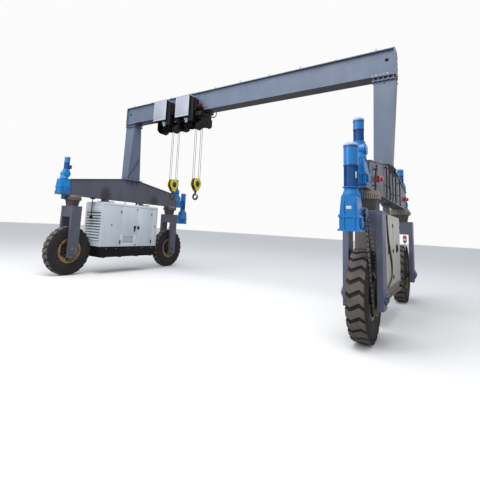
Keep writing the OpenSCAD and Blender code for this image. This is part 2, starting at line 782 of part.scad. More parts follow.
// Guard plate of a chain, behind its two runs, hung on the drive's output shaft
module chain_guard(sx, sy) {
    top = output_shaft();
    low_y = -fork_depth / 2 - 96;
    low_z = axle_z + 330;
    color([0.12, 0.12, 0.13]) beside_wheel(sx, sy, guard_x - chain_t / 2 - guard_t / 2 - 1) difference() {
        union() {
            shaft_x(92, guard_t, 0, top[0], top[1]);
            slab_x([[top[0] - 90, top[1] - 10], [top[0] + 60, top[1] + 70], [low_y + 110, low_z + 60],
                    [low_y - 80, low_z]], guard_t);
        }
        shaft_x(34 + pin_gap, 60, 0, top[0], top[1]);
    }
}

// Hoist trolley: two side plates that carry the rollers, and three cross frames below the
// girder that carry the drum. Its own frame has the hook's line at x = 0.
module hoist_frame() {
    left = hoist_end - hoist_l;
    right = hoist_end;
    roller_z = girder_z + plate_t + roller_r + seat_gap;
    color([0.09, 0.09, 0.11]) {
        for (side = [-1, 1]) {
            slab_y([[left, girder_z - 260], [right, girder_z - 260], [right, girder_z - 40],
                    [right - 60, roller_z + 70], [left + 60, roller_z + 70],
                    [left, girder_z - 40]], side_t, side * side_y);
            for (x = [left + 140, right - 140]) {
                shaft_y(roller_r, roller_w, x, side * (girder_w / 2 + run_gap + roller_w / 2),
                        roller_z);
                shaft_y(22, side_y - girder_w / 2 - run_gap - 2, x,
                        side * (side_y + girder_w / 2 + run_gap + 2) / 2, roller_z);
            }
        }
        for (x = [left + 8, drum_x, right - 8]) {
            difference() {
                cross_frame(x);
                shaft_x(36 + pin_gap, 40, x, 0, drum_z);
            }
        }
    }
}

// Cross frame of a hoist, wider below the side plates so that it clears the control box
module cross_frame(x) {
    shoulder = girder_z - box_drop - 12;
    slab_x([[-side_y, girder_z - 60], [-side_y, shoulder], [-side_y - 60, shoulder],
            [-side_y - 60, girder_z - 420], [-150, girder_z - 500], [150, girder_z - 500],
            [side_y + 60, girder_z - 420], [side_y + 60, shoulder], [side_y, shoulder],
            [side_y, girder_z - 60]], 16, x);
}

// Tow arm of the right hoist: a bar on the front side plate that runs on past the frame, with
// a saddle for the hoist's cable at its end
module tow_arm() {
    y = -side_y - side_t / 2 - 12;
    z = girder_z - 240;
    reach = hoist_end + 380;
    color([0.09, 0.09, 0.11]) {
        block(40, y - 1, z, reach - 40, 14, 70);
        translate([reach, y - 2, z + 35]) rotate([0, 90, 90]) difference() {
            cylinder(r = 95, h = 24, center = true);
            cylinder(r = 86, h = 26, center = true);
            translate([-100, -130, -30]) cube([200, 100, 60]);
        }
    }
}

// Control box of a hoist, hung on the front side plate
module hoist_box() {
    left = hoist_end - hoist_l - 20;
    y = -side_y - side_t / 2;
    color([0.80, 0.80, 0.86]) {
        block(left, y - 240, girder_z - box_drop, 520, 240, 650);
        block(left - 6, y - 250, girder_z + 440, 532, 250, 26);
    }
}

// Rope drum with its grooves, hoist motor, brake and travel motor
module hoist_drive() {
    left = hoist_end - hoist_l;
    first = drum_x + 8 + seat_gap;
    span = hoist_end - 16 - seat_gap - first;
    grooves = 14;
    color([0.16, 0.16, 0.19]) {
        shaft_x(36, hoist_l - 30, hoist_end - hoist_l / 2, 0, drum_z);
        for (x = [first + 9, first + span - 9]) {
            shaft_x(drum_r + 26, 18, x, 0, drum_z);
        }
        for (i = [0 : grooves - 1]) {
            shaft_x(drum_r - (i % 2) * 6, (span - 36) / grooves + 0.01,
                    first + 18 + (i + 0.5) * (span - 36) / grooves, 0, drum_z);
        }
        shaft_x(118, 230, first - 140, 0, drum_z);
        shaft_x(132, 26, first - 60, 0, drum_z);
        shaft_x(100, 150, left + 110, 0, drum_z);
    }
    color([0.75, 0.76, 0.80]) {
        stand(left + 300, -side_y - side_t / 2 - 55 - seat_gap, girder_z - 250, 110, 110, 59);
        translate([left + 300, -side_y - side_t / 2 - 55 - seat_gap, girder_z - 340])
            cylinder(r = 46, h = 90);
    }
}

// Hook block: two sheaves between yellow cheeks and a crosshead for the hook
module hook_block() {
    r = sheave_r + 28;
    color([0.82, 0.78, 0.20]) {
        for (x = [-62, 0, 62]) {
            slab_x([[-70, block_z - r], [70, block_z - r], [r, block_z - 50], [r, block_z + 60],
                    [90, block_z + r], [-90, block_z + r], [-r, block_z + 60], [-r, block_z - 50]],
                   x == 0 ? 10 : 14, x);
        }
        stand(0, 0, block_z - r - 46, 150, 110, 60);
    }
    color([0.20, 0.20, 0.22]) {
        for (x = [-31, 31]) {
            translate([x, 0, block_z]) rotate([0, 90, 0]) rotate_extrude() polygon([
                [20, -18], [sheave_r + 14, -18], [sheave_r + 14, -14], [sheave_r, -5],
                [sheave_r, 5], [sheave_r + 14, 14], [sheave_r + 14, 18], [20, 18]
            ]);
        }
        shaft_x(26, 158, 0, 0, block_z);
    }
}

// Lifting hook: a shank in the crosshead and a forged bowl with a narrowing tip
module hook() {
    top = block_z - sheave_r - 28 - 46;
    r = 78;
    z = top - 60 - r - 34;
    color([0.15, 0.15, 0.16]) {
        translate([0, 0, top - 30]) cylinder(r = 40, h = 30 - seat_gap);
        translate([0, 0, z + r * 0.6]) cylinder(r = 26, h = top - 29 - z - r * 0.6);
        translate([0, 0, z]) rotate([90, 0, 0]) {
            rotate([0, 0, 78]) rotate_extrude(angle = 294) translate([r, 0]) circle(r = 27);
            rotate([0, 0, 8]) translate([r, 0, 0]) rotate([-90, 0, -6])
                cylinder(r1 = 25, r2 = 8, h = 62);
        }
    }
}

// Four falls of rope from the drum to the sheaves
module ropes() {
    color([0.35, 0.35, 0.36]) for (x = [-31, 31], y = [-1, 1]) {
        translate([x, y * (sheave_r + rope_d / 2 + seat_gap), block_z - 10])
            cylinder(r = rope_d / 2, h = rope_top - block_z + 10, $fn = 16);
    }
}

main_girder();
leg(-1);  // leg_left
leg(1);  // leg_right
end_beam(-1);  // end_beam_left
end_beam(1);  // end_beam_right
slewing_rings();
steer_drive(-1, -1);  // steer_drive_ln
steer_drive(-1, 1);  // steer_drive_lf
steer_drive(1, -1);  // steer_drive_rn
steer_drive(1, 1);  // steer_drive_rf
generator_housing();
generator_louvre();
generator_base();
hangers();
cabinet();
cabinet_base();
sensor_rod();
stop_buttons();
fork(-1, -1);  // fork_ln
fork(-1, 1);  // fork_lf
fork(1, -1);  // fork_rn
fork(1, 1);  // fork_rf
tyre(-1, -1);  // tyre_ln
tyre(-1, 1);  // tyre_lf
tyre(1, -1);  // tyre_rn
tyre(1, 1);  // tyre_rf
rim(-1, -1, false);  // rim_ln
rim(-1, 1, true);  // rim_lf
rim(1, -1, true);  // rim_rn
rim(1, 1, false);  // rim_rf
travel_drive(-1, 1);  // travel_drive_lf
travel_drive(1, -1);  // travel_drive_rn
chain_guard(-1, 1);  // chain_guard_lf
chain_guard(1, -1);  // chain_guard_rn
chain(-1, 1);  // chain_lf
chain(1, -1);  // chain_rn
cables();
translate([hook_1_x, 0, 0]) hoist_frame();  // hoist_frame_1
translate([hook_1_x, 0, 0]) hoist_box();  // hoist_box_1
translate([hook_1_x, 0, 0]) hoist_drive();  // hoist_drive_1
translate([hook_1_x, 0, 0]) hook_block();  // hook_block_1
translate([hook_1_x, 0, 0]) hook();  // hook_1
translate([hook_1_x, 0, 0]) ropes();  // ropes_1
translate([hook_2_x, 0, 0]) {  // hoist_frame_2
    hoist_frame();
    tow_arm();
}
translate([hook_2_x, 0, 0]) hoist_box();  // hoist_box_2
translate([hook_2_x, 0, 0]) hoist_drive();  // hoist_drive_2
translate([hook_2_x, 0, 0]) hook_block();  // hook_block_2
translate([hook_2_x, 0, 0]) hook();  // hook_2
translate([hook_2_x, 0, 0]) ropes();  // ropes_2
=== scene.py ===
from math import acos, atan2, cos, pi, radians, sin

import bpy
from mathutils import Matrix, Vector


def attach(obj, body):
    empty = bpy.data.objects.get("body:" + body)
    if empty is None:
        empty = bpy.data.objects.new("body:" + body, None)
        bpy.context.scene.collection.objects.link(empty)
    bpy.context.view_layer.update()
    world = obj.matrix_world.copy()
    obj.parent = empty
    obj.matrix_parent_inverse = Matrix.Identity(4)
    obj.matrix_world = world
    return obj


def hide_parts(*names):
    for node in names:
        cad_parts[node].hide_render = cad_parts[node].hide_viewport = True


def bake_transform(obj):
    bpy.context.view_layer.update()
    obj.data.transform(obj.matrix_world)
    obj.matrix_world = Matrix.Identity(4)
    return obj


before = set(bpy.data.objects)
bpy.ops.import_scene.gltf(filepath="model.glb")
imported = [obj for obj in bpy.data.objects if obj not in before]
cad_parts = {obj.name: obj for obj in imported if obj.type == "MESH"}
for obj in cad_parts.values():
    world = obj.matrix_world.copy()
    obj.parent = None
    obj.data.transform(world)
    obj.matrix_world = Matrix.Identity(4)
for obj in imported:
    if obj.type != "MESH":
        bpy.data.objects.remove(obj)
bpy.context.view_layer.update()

# The photograph's camera, in metres and degrees
CAMERA_PLACE = Vector((5.106, -7.883, 1.582))
CAMERA_YAW = radians(-36.245)
CAMERA_PITCH = radians(8.179)
CAMERA_ROLL = radians(3.103)
LENS_MM = 25.66
VIEW_CENTRE_U = 206.97
VIEW_CENTRE_V = 176.74
PHOTO_SIZE = 480

# Places that the pieces share with the construction
X_AXIS = (1, 0, 0)
Y_AXIS = (0, 1, 0)
Z_AXIS = (0, 0, 1)
DOWN = (0, 0, -1)
SIDES = {"l": -1, "r": 1}
ENDS = {"n": -1, "f": 1}
CORNERS = ("ln", "lf", "rn", "rf")
DRIVEN = ("lf", "rn")
WHEEL_X = 3.94
WHEEL_Y = 2.10
AXLE_Z = 0.685
STEER_Y = 2.41
HOOK_X = {"1": -1.970, "2": -1.065}
SMALL_CHAIN_WHEEL = Vector((-0.610, 1.864))
SMALL_CHAIN_RADIUS = 0.0693
BIG_CHAIN_RADIUS = 0.2762
CHAIN_PITCH = 0.038
DRUM_Z = 4.610
ROPE_LOW = 2.780
GEN_X = -3.86
GEN_Y = -0.225
GEN_HALF_W = 0.44
GEN_FRONT = -1.38
CAB_X = 3.835
CAB_Y = -0.17
CAB_FRONT = CAB_Y - 1.025

# Small sizes that several pieces share
WELD_RADIUS = 0.005
DOOR_RAISE = 0.004
DOOR_EDGE = 0.0018


def wheel_middle(corner):
    return Vector((SIDES[corner[0]] * WHEEL_X, ENDS[corner[1]] * WHEEL_Y, AXLE_Z))


def camera():
    forward = Vector((sin(CAMERA_YAW) * cos(CAMERA_PITCH), cos(CAMERA_YAW) * cos(CAMERA_PITCH),
                      sin(CAMERA_PITCH)))
    level = Vector((cos(CAMERA_YAW), -sin(CAMERA_YAW), 0))
    upright = level.cross(forward)
    right = cos(CAMERA_ROLL) * level + sin(CAMERA_ROLL) * upright
    up = cos(CAMERA_ROLL) * upright - sin(CAMERA_ROLL) * level
    data = bpy.data.cameras.new("camera")
    data.lens = LENS_MM
    data.sensor_width = 36
    data.shift_x = 0.5 - VIEW_CENTRE_U / PHOTO_SIZE
    data.shift_y = VIEW_CENTRE_V / PHOTO_SIZE - 0.5
    data.clip_end = 200
    holder = bpy.data.objects.new("camera", data)
    bpy.context.collection.objects.link(holder)
    turn = Matrix((right, up, -forward)).transposed()
    holder.matrix_world = Matrix.Translation(CAMERA_PLACE) @ turn.to_4x4()
    bpy.context.scene.camera = holder


camera()


# Shader helpers: a socket knows the tree that it belongs to

def link(output, enter):
    output.id_data.links.new(output, enter)


def node_of(tree, kind, **values):
    """A new node. A value is a socket that feeds an input, an input's own value or a setting."""
    made = tree.nodes.new(kind)
    for key, value in values.items():
        if isinstance(value, bpy.types.NodeSocket):
            link(value, made.inputs[key])
        elif key in made.inputs:
            made.inputs[key].default_value = value
        else:
            setattr(made, key, value)
    return made


def group_of(name, result, **amounts):
    """A group that takes a place and some amounts, and gives one number."""
    tree = bpy.data.node_groups.new(name, "ShaderNodeTree")
    tree.interface.new_socket("Place", in_out="INPUT", socket_type="NodeSocketVector")
    for label, value in amounts.items():
        socket = tree.interface.new_socket(label, in_out="INPUT", socket_type="NodeSocketFloat")
        socket.default_value = value
    tree.interface.new_socket(result, in_out="OUTPUT", socket_type="NodeSocketFloat")
    enter = tree.nodes.new("NodeGroupInput")
    leave = tree.nodes.new("NodeGroupOutput")
    return tree, enter.outputs, leave.inputs[0]


def use_group(group, place, **values):
    return node_of(place.id_data, "ShaderNodeGroup", node_tree=group, Place=place, **values).outputs[0]


def maths(operation, first, second=None, clamp=False):
    tree = (second if isinstance(first, (int, float)) else first).id_data
    made = node_of(tree, "ShaderNodeMath", operation=operation, use_clamp=clamp)
    for place, value in enumerate((first, second)):
        if isinstance(value, (int, float)):
            made.inputs[place].default_value = value
        elif value is not None:
            link(value, made.inputs[place])
    return made.outputs[0]


def times(first, second, clamp=False):
    return maths("MULTIPLY", first, second, clamp)


def plus(first, second, clamp=False):
    return maths("ADD", first, second, clamp)


def between(value, low, high):
    return times(maths("GREATER_THAN", value, low), maths("LESS_THAN", value, high))


def mixed(factor, first, second):
    """Blends two colours, each a socket or red, green and blue."""
    made = node_of(factor.id_data, "ShaderNodeMix", data_type="RGBA")
    for place, value in ((0, factor), (6, first), (7, second)):
        if isinstance(value, tuple):
            made.inputs[place].default_value = (*value, 1)
        else:
            link(value, made.inputs[place])
    return made.outputs[2]


def darker(colour, share):
    return tuple(c * share for c in colour)


def ramp(value, low, high):
    """0 at low and 1 at high, and held past them."""
    limits = {"From Min": low, "From Max": high}
    return node_of(value.id_data, "ShaderNodeMapRange", clamp=True, Value=value, **limits).outputs["Result"]


def noise(place, scale, detail=3.0, rough=0.55):
    return node_of(place.id_data, "ShaderNodeTexNoise", Vector=place, Scale=scale, Detail=detail,
                   Roughness=rough).outputs["Fac"]


def part_of(vector, axis):
    return node_of(vector.id_data, "ShaderNodeSeparateXYZ", Vector=vector).outputs[axis]


def edge_wear_group():
    tree, enter, leave = group_of("edge_wear", "Mask", Radius=0.006, Amount=0.6)
    bevel = node_of(tree, "ShaderNodeBevel", samples=4, Radius=enter["Radius"])
    shape = tree.nodes.new("ShaderNodeNewGeometry")
    dot = node_of(tree, "ShaderNodeVectorMath", operation="DOT_PRODUCT")
    link(bevel.outputs[0], dot.inputs[0])
    link(shape.outputs["Normal"], dot.inputs[1])
    edge = ramp(dot.outputs["Value"], 0.995, 0.88)
    patch = ramp(noise(enter["Place"], 9.0, 5.0, 0.7), 0.42, 0.62)
    link(times(times(edge, patch), enter["Amount"], True), leave)
    return tree


def grime_group():
    """Stains drawn out upwards."""
    tree, enter, leave = group_of("grime", "Mask", Scale=1.6, Amount=0.5)
    stretch = node_of(tree, "ShaderNodeMapping", Scale=(1.0, 1.0, 0.45), Vector=enter["Place"])
    soft = ramp(noise(stretch.outputs[0], enter["Scale"], 6.0, 0.62), 0.42, 0.72)
    link(times(soft, enter["Amount"], True), leave)
    return tree


def peel_group():
    tree, enter, leave = group_of("paint_peel", "Height", Scale=90.0)
    fine = noise(enter["Place"], enter["Scale"], 2.0, 0.5)
    broad = noise(enter["Place"], 3.0, 2.0)
    link(plus(times(fine, 0.35), broad), leave)
    return tree


def facing_group(name, amount, facing, scale, patch):
    """Patches on faces that look up or down: facing holds the normal's Z where they start and where
    they are full."""
    tree, enter, leave = group_of(name, "Mask", Amount=amount)
    normal = tree.nodes.new("ShaderNodeNewGeometry").outputs["Normal"]
    turned = ramp(part_of(normal, "Z"), *facing)
    broken = ramp(noise(enter["Place"], scale, 4.0), *patch)
    link(times(times(turned, broken), enter["Amount"], True), leave)
    return tree


EDGE_WEAR = edge_wear_group()
GRIME = grime_group()
PEEL = peel_group()
DUST = facing_group("settled_dust", 0.5, (0.45, 0.95), 6.0, (0.30, 0.65))
# Painted shade: faces that look down are darkened in broken patches
UNDERSIDE_SHADE = facing_group("underside", 0.8, (-0.55, -0.90), 4.0, (0.15, 0.45))


def start_material(name, roughness, metallic=0.0, specular=0.5):
    material = bpy.data.materials.new(name)
    material.use_nodes = True
    tree = material.node_tree
    shader = tree.nodes["Principled BSDF"]
    shader.inputs["Roughness"].default_value = roughness
    shader.inputs["Metallic"].default_value = metallic
    shader.inputs["Specular IOR Level"].default_value = specular
    place = tree.nodes.new("ShaderNodeTexCoord").outputs["Object"]
    return material, shader, place


def finish_material(shader, base, height, strength, distance=0.002):
    """Links the colour, and the height as a bump."""
    link(base, shader.inputs["Base Color"])
    bump = node_of(height.id_data, "ShaderNodeBump", Strength=strength, Distance=distance, Height=height)
    link(bump.outputs[0], shader.inputs["Normal"])


def paint(name, colour, worn, dirt, roughness=0.42, wear=0.6, grime=0.45, dust=0.35,
          coat=0.0, zones=(), specular=0.5, under=0.0):
    """Sprayed paint with chipped edges, stains, dust on top faces, painted shade on faces that look down
    and a slight orange peel. Each zone is a mask and the colour that it gets."""
    material, shader, place = start_material(name, roughness, specular=specular)
    tone = ramp(noise(place, 1.3, 4.0), 0.3, 0.7)
    base = mixed(tone, colour, darker(colour, 0.88))
    for where, zone_colour in zones:
        base = mixed(where(place), base, zone_colour)
    stain = use_group(GRIME, place, Scale=2.2, Amount=grime)
    base = mixed(stain, base, dirt)
    base = mixed(use_group(DUST, place, Amount=dust), base, (0.40, 0.36, 0.31))
    # Painted shade: faces that look down turn near black
    if under:
        base = mixed(use_group(UNDERSIDE_SHADE, place, Amount=under), base, (0.040, 0.033, 0.032))
    base = mixed(use_group(EDGE_WEAR, place, Radius=0.006, Amount=wear), base, worn)
    link(plus(times(stain, 0.35), roughness, True), shader.inputs["Roughness"])
    shader.inputs["Coat Weight"].default_value = coat
    shader.inputs["Coat Roughness"].default_value = 0.15
    finish_material(shader, base, use_group(PEEL, place, Scale=120.0), 0.25)
    return material


# Masks for the zones of a paint

def band_z(low, high):
    """1 where the height lies between low and high."""
    def build(place):
        return between(part_of(place, "Z"), low, high)
    return build


def in_front_of(limit):
    """1 where y is less than the limit."""
    def build(place):
        return maths("LESS_THAN", part_of(place, "Y"), limit)
    return build


def near_x(middle, reach):
    """1 where x is less than reach away from the middle."""
    def build(place):
        away = maths("ABSOLUTE", maths("SUBTRACT", part_of(place, "X"), middle))
        return maths("LESS_THAN", away, reach)
    return build


def scorched(*spots):
    """Soft dark patches with ragged edges round places (y, z) on a beam's face."""
    def build(place):
        ragged = times(noise(place, 7.0, 4.0, 0.6), 0.16)
        total = 0.0
        for y, z in spots:
            across = times(maths("SUBTRACT", part_of(place, "Y"), y), 1.2)
            up = maths("SUBTRACT", part_of(place, "Z"), z)
            square = plus(times(across, across), times(up, up))
            away = plus(maths("SQRT", square), ragged)
            total = maths("MAXIMUM", total, ramp(away, 0.40, 0.20))
        return times(total, 0.95)
    return build


def axle_radius(place, corner):
    """Distance from a wheel's axle, and distance from its wheel plane."""
    location = -wheel_middle(corner)
    move = node_of(place.id_data, "ShaderNodeMapping", Location=location, Vector=place).outputs[0]
    y, z = part_of(move, "Y"), part_of(move, "Z")
    square = plus(times(y, y), times(z, z))
    return maths("SQRT", square), maths("ABSOLUTE", part_of(move, "X"))


def tyre_rubber(corner):
    """Black rubber with fine rings on the sidewall, and soil on the lugs."""
    material, shader, place = start_material("tyre_rubber_" + corner, 0.80, specular=0.25)
    radius = axle_radius(place, corner)[0]
    patch = ramp(noise(place, 7.0, 5.0, 0.65), 0.32, 0.66)
    fine = noise(place, 60.0, 4.0)
    base = mixed(fine, (0.012, 0.010, 0.012), (0.028, 0.024, 0.027))
    soil = times(ramp(radius, 0.668, 0.680), plus(times(patch, 0.5), 0.45), True)
    base = mixed(soil, base, (0.165, 0.135, 0.125))
    base = mixed(times(patch, 0.15), base, (0.110, 0.095, 0.090))
    rings = maths("SINE", times(radius, 520.0))
    narrow = times(ramp(radius, 0.50, 0.52), ramp(radius, 0.585, 0.57))
    height = plus(times(rings, narrow), times(fine, 0.8))
    finish_material(shader, base, height, 0.5, 0.003)
    return material


def rim_paint(corner):
    """Ochre rim with rust and grease, dark towards the hub. A chain wheel on it is dark steel
    with bright tooth tips."""
    material, shader, place = start_material("rim_paint_" + corner, 0.55)
    radius, away = axle_radius(place, corner)
    rust = ramp(noise(place, 14.0, 6.0, 0.7), 0.45, 0.65)
    base = mixed(rust, (0.36, 0.25, 0.085), (0.15, 0.075, 0.03))
    base = mixed(ramp(radius, 0.245, 0.215), base, (0.020, 0.018, 0.020))
    if corner in DRIVEN:
        wheel = maths("GREATER_THAN", away, 0.148)
        teeth = times(wheel, ramp(radius, 0.249, 0.254))
        base = mixed(wheel, base, (0.026, 0.022, 0.024))
        base = mixed(teeth, base, (0.090, 0.080, 0.075))
    base = mixed(use_group(GRIME, place, Scale=7.0, Amount=0.55), base, (0.05, 0.04, 0.03))
    finish_material(shader, base, noise(place, 70.0, 5.0), 0.3)
    return material


def bare_metal(name, colour, dirt, roughness=0.38, metallic=0.85):
    material, shader, place = start_material(name, roughness, metallic)
    base = mixed(noise(place, 24.0, 5.0), colour, darker(colour, 0.7))
    stain = use_group(GRIME, place, Scale=9.0, Amount=0.6)
    shine = maths("SUBTRACT", metallic, times(stain, 0.6), True)
    link(shine, shader.inputs["Metallic"])
    finish_material(shader, mixed(stain, base, dirt), noise(place, 160.0, 3.0), 0.2, 0.001)
    return material


def cable_rubber():
    material, shader, place = start_material("cable_rubber", 0.5)
    base = mixed(noise(place, 18.0, 4.0), (0.008, 0.008, 0.009), (0.030, 0.029, 0.030))
    base = mixed(use_group(DUST, place, Amount=0.5), base, (0.16, 0.14, 0.12))
    finish_material(shader, base, noise(place, 240.0, 2.0), 0.2, 0.001)
    return material


def fork_paint(name, colour, worn, dirt, roughness, pedestal, ring_colour):
    zones = [(band_z(1.9475, 2.1214), pedestal), (band_z(2.1214, 2.1999), ring_colour)]
    return paint(name, colour, worn, dirt, roughness, wear=0.5, grime=0.45, dust=0.20, under=0.9, zones=zones)


def drive_blue(name, zones=()):
    return paint(name, (0.003, 0.185, 0.520), (0.08, 0.26, 0.50), (0.010, 0.075, 0.210), roughness=0.34,
                 wear=0.4, grime=0.30, dust=0.08, coat=0.1, specular=0.35, zones=zones)


def machine_black(name, zones=()):
    return paint(name, (0.006, 0.005, 0.007), (0.070, 0.063, 0.060), (0.016, 0.013, 0.013), roughness=0.50,
                 wear=0.4, grime=0.3, dust=0.12, specular=0.15, zones=zones)


def block_yellow(i):
    return paint("block_yellow_" + i, (0.780, 0.640, 0.020), (0.34, 0.30, 0.12), (0.26, 0.20, 0.03),
                 roughness=0.4, grime=0.3, zones=[(near_x(HOOK_X[i], 0.054), (0.012, 0.012, 0.013))])


STRUCTURE = paint("structure_paint", (0.100, 0.134, 0.206), (0.22, 0.23, 0.25), (0.056, 0.066, 0.088),
                  wear=0.45, grime=0.30, dust=0.20, under=0.9,
                  zones=[(band_z(5.558, 5.620), (0.520, 0.550, 0.600))])
BEAM = paint("beam_paint", (0.122, 0.132, 0.184), (0.22, 0.22, 0.23), (0.050, 0.046, 0.052),
             roughness=0.44, wear=0.5, dust=0.20, under=0.9)
# The beam paint made darker for the left end beam: painted shade on that side
SHADED_LEFT_BEAM = paint("shaded_left_beam_paint", (0.082, 0.087, 0.125), (0.20, 0.20, 0.21), (0.040, 0.037, 0.043),
                  roughness=0.46, wear=0.45, grime=0.40, dust=0.20, under=0.9,
                  zones=[(scorched((-1.048, 2.37), (1.096, 2.34)), (0.022, 0.018, 0.018))])
FORK = fork_paint("fork_paint", (0.128, 0.142, 0.216), (0.22, 0.22, 0.23), (0.050, 0.046, 0.052), 0.42,
                  (0.070, 0.056, 0.050), (0.300, 0.255, 0.225))
# The fork paint, pedestal and toothed ring made darker for the left forks: painted shade on that side
SHADED_LEFT_FORK = fork_paint("shaded_left_fork_paint", (0.086, 0.090, 0.128), (0.20, 0.20, 0.21), (0.040, 0.036, 0.040),
                       0.44, (0.050, 0.042, 0.040), (0.120, 0.102, 0.095))
DEEP_BLUE = (0.006, 0.085, 0.290)
STEER_BLUE = drive_blue("steering_paint", [(band_z(2.980, 3.161), DEEP_BLUE)])
TRAVEL_BLUE = drive_blue("travel_paint", [(band_z(2.222, 2.518), DEEP_BLUE)])
BLUE = drive_blue("drive_paint")
WHITE = paint("housing_paint", (0.600, 0.650, 0.710), (0.35, 0.36, 0.38), (0.36, 0.38, 0.41),
              roughness=0.36, wear=0.25, grime=0.22, dust=0.25)
BLACK = machine_black("frame_paint")
HOIST = machine_black("hoist_paint", [(in_front_of(-0.2125), (0.520, 0.560, 0.620))])
# The cabinet's near end, in front of y = -1.1915, is near black: painted shade
CABINET = paint("cabinet_paint", (0.560, 0.540, 0.500), (0.30, 0.28, 0.26), (0.30, 0.27, 0.24),
                roughness=0.40, wear=0.35, grime=0.30,
                zones=[(in_front_of(-1.1915), (0.060, 0.052, 0.052))])
CHANNEL = paint("channel_paint", (0.255, 0.205, 0.168), (0.20, 0.13, 0.09), (0.11, 0.085, 0.07),
                roughness=0.55, grime=0.5)
RED = paint("stop_red", (0.620, 0.012, 0.018), (0.70, 0.10, 0.08), (0.22, 0.02, 0.02),
            roughness=0.28, wear=0.2, grime=0.25, coat=0.4)
RING = bare_metal("ring_steel", (0.34, 0.29, 0.25), (0.12, 0.075, 0.05), 0.45, 0.7)
BOLT = bare_metal("bolt_steel", (0.42, 0.41, 0.40), (0.10, 0.09, 0.08))
HOOK = bare_metal("hook_steel", (0.030, 0.030, 0.033), (0.014, 0.012, 0.011), 0.45, 0.5)
ROPE = bare_metal("rope_steel", (0.070, 0.068, 0.066), (0.022, 0.020, 0.018), 0.55, 0.5)
CABLE = cable_rubber()
CHAIN = bare_metal("chain_steel", (0.56, 0.54, 0.50), (0.060, 0.050, 0.042), 0.36, 0.6)
# The motors' blue fan caps made pale: a painted reflection of the bright sky on their tops
CAP_PAINT_AND_REFLECTION = paint("cap_paint_and_reflection", (0.340, 0.500, 0.700), (0.24, 0.32, 0.42), (0.14, 0.22, 0.34),
            roughness=0.38, wear=0.3, grime=0.3)
DARK_BLUE = paint("band_paint", (0.012, 0.060, 0.220), (0.08, 0.12, 0.20), (0.010, 0.030, 0.090),
                  roughness=0.36, wear=0.3, grime=0.3)
PLATE = paint("plate_paint", (0.660, 0.680, 0.700), (0.35, 0.36, 0.37), (0.35, 0.34, 0.32),
              roughness=0.35, wear=0.3, grime=0.25, dust=0.1)
PANEL = paint("panel_paint", (0.400, 0.440, 0.500), (0.30, 0.31, 0.33), (0.22, 0.23, 0.25),
              roughness=0.38, wear=0.2, grime=0.3, dust=0.1)
PALE = paint("box_paint", (0.500, 0.510, 0.580), (0.35, 0.35, 0.38), (0.30, 0.30, 0.34),
             roughness=0.34, wear=0.3, grime=0.25, dust=0.2)
BOX_DOOR = paint("box_door_paint", (0.360, 0.375, 0.450), (0.30, 0.30, 0.33), (0.24, 0.24, 0.28),
                 roughness=0.36, wear=0.2, grime=0.25, dust=0.1)


def dress(material, *names):
    for name in names:
        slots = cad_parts[name].data.materials
        slots.clear()
        slots.append(material)


def dress_construction():
    dress(STRUCTURE, "main_girder", "leg_left", "leg_right")
    dress(BEAM, "end_beam_right", "hangers")
    dress(SHADED_LEFT_BEAM, "end_beam_left")
    dress(FORK, "fork_rn", "fork_rf")
    dress(SHADED_LEFT_FORK, "fork_ln", "fork_lf")
    dress(RING, "slewing_rings")
    dress(WHITE, "generator_housing", "generator_louvre")
    dress(BLACK, "generator_base", "sensor_rod")
    dress(CABINET, "cabinet")
    dress(CHANNEL, "cabinet_base")
    dress(RED, "stop_buttons")
    dress(CABLE, "cables")
    for i in "12":
        dress(BLACK, "hoist_frame_" + i)
        dress(HOIST, "hoist_drive_" + i)
        dress(PALE, "hoist_box_" + i)
        dress(HOOK, "hook_" + i)
        dress(ROPE, "ropes_" + i)
        dress(block_yellow(i), "hook_block_" + i)
    for corner in CORNERS:
        dress(STEER_BLUE, "steer_drive_" + corner)
        dress(tyre_rubber(corner), "tyre_" + corner)
        dress(rim_paint(corner), "rim_" + corner)
    for corner in DRIVEN:
        dress(TRAVEL_BLUE, "travel_drive_" + corner)
        dress(BLACK, "chain_guard_" + corner)
        dress(CHAIN, "chain_" + corner)


dress_construction()


# Modelling helpers

def choose(*pieces):
    """Deselects everything, then selects the pieces and makes the first one active."""
    if bpy.context.mode != "OBJECT":
        bpy.ops.object.mode_set(mode="OBJECT")
    bpy.ops.object.select_all(action="DESELECT")
    for piece in pieces:
        piece.select_set(True)
    if pieces:
        bpy.context.view_layer.objects.active = pieces[0]


def joined(*pieces):
    choose(*pieces)
    if len(pieces) > 1:
        bpy.ops.object.join()
    return bpy.context.object


def settle(name, body, material, *pieces, angle=35):
    """Joins finished pieces into one with a name and a material, which rides on a body."""
    piece = joined(*pieces)
    bpy.ops.object.transform_apply(location=True, rotation=True, scale=True)
    bpy.ops.object.shade_smooth_by_angle(angle=radians(angle))
    piece.name = name
    piece.data.name = name
    piece.data.materials.clear()
    piece.data.materials.append(material)
    if body:
        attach(piece, body)
    return piece


def facing(place, along):
    """The matrix that moves the origin to a place and turns +Z to a direction."""
    turn = Vector(Z_AXIS).rotation_difference(Vector(along).normalized())
    return Matrix.Translation(Vector(place)) @ turn.to_matrix().to_4x4()


def shifted(place, x=0.0, y=0.0, z=0.0):
    return Vector(place) + Vector((x, y, z))


def soft_box(low, high, edge=0.004, segments=2):
    """A box with rounded edges between two corners."""
    choose()
    low, high = Vector(low), Vector(high)
    bpy.ops.mesh.primitive_cube_add(size=1, location=(low + high) / 2, scale=high - low)
    piece = bpy.context.object
    bpy.ops.object.transform_apply(location=True, rotation=True, scale=True)
    bpy.ops.object.mode_set(mode="EDIT")
    bpy.ops.mesh.select_all(action="SELECT")
    bpy.ops.mesh.bevel(offset=edge, segments=segments, affect="EDGES", clamp_overlap=True)
    bpy.ops.object.mode_set(mode="OBJECT")
    return piece


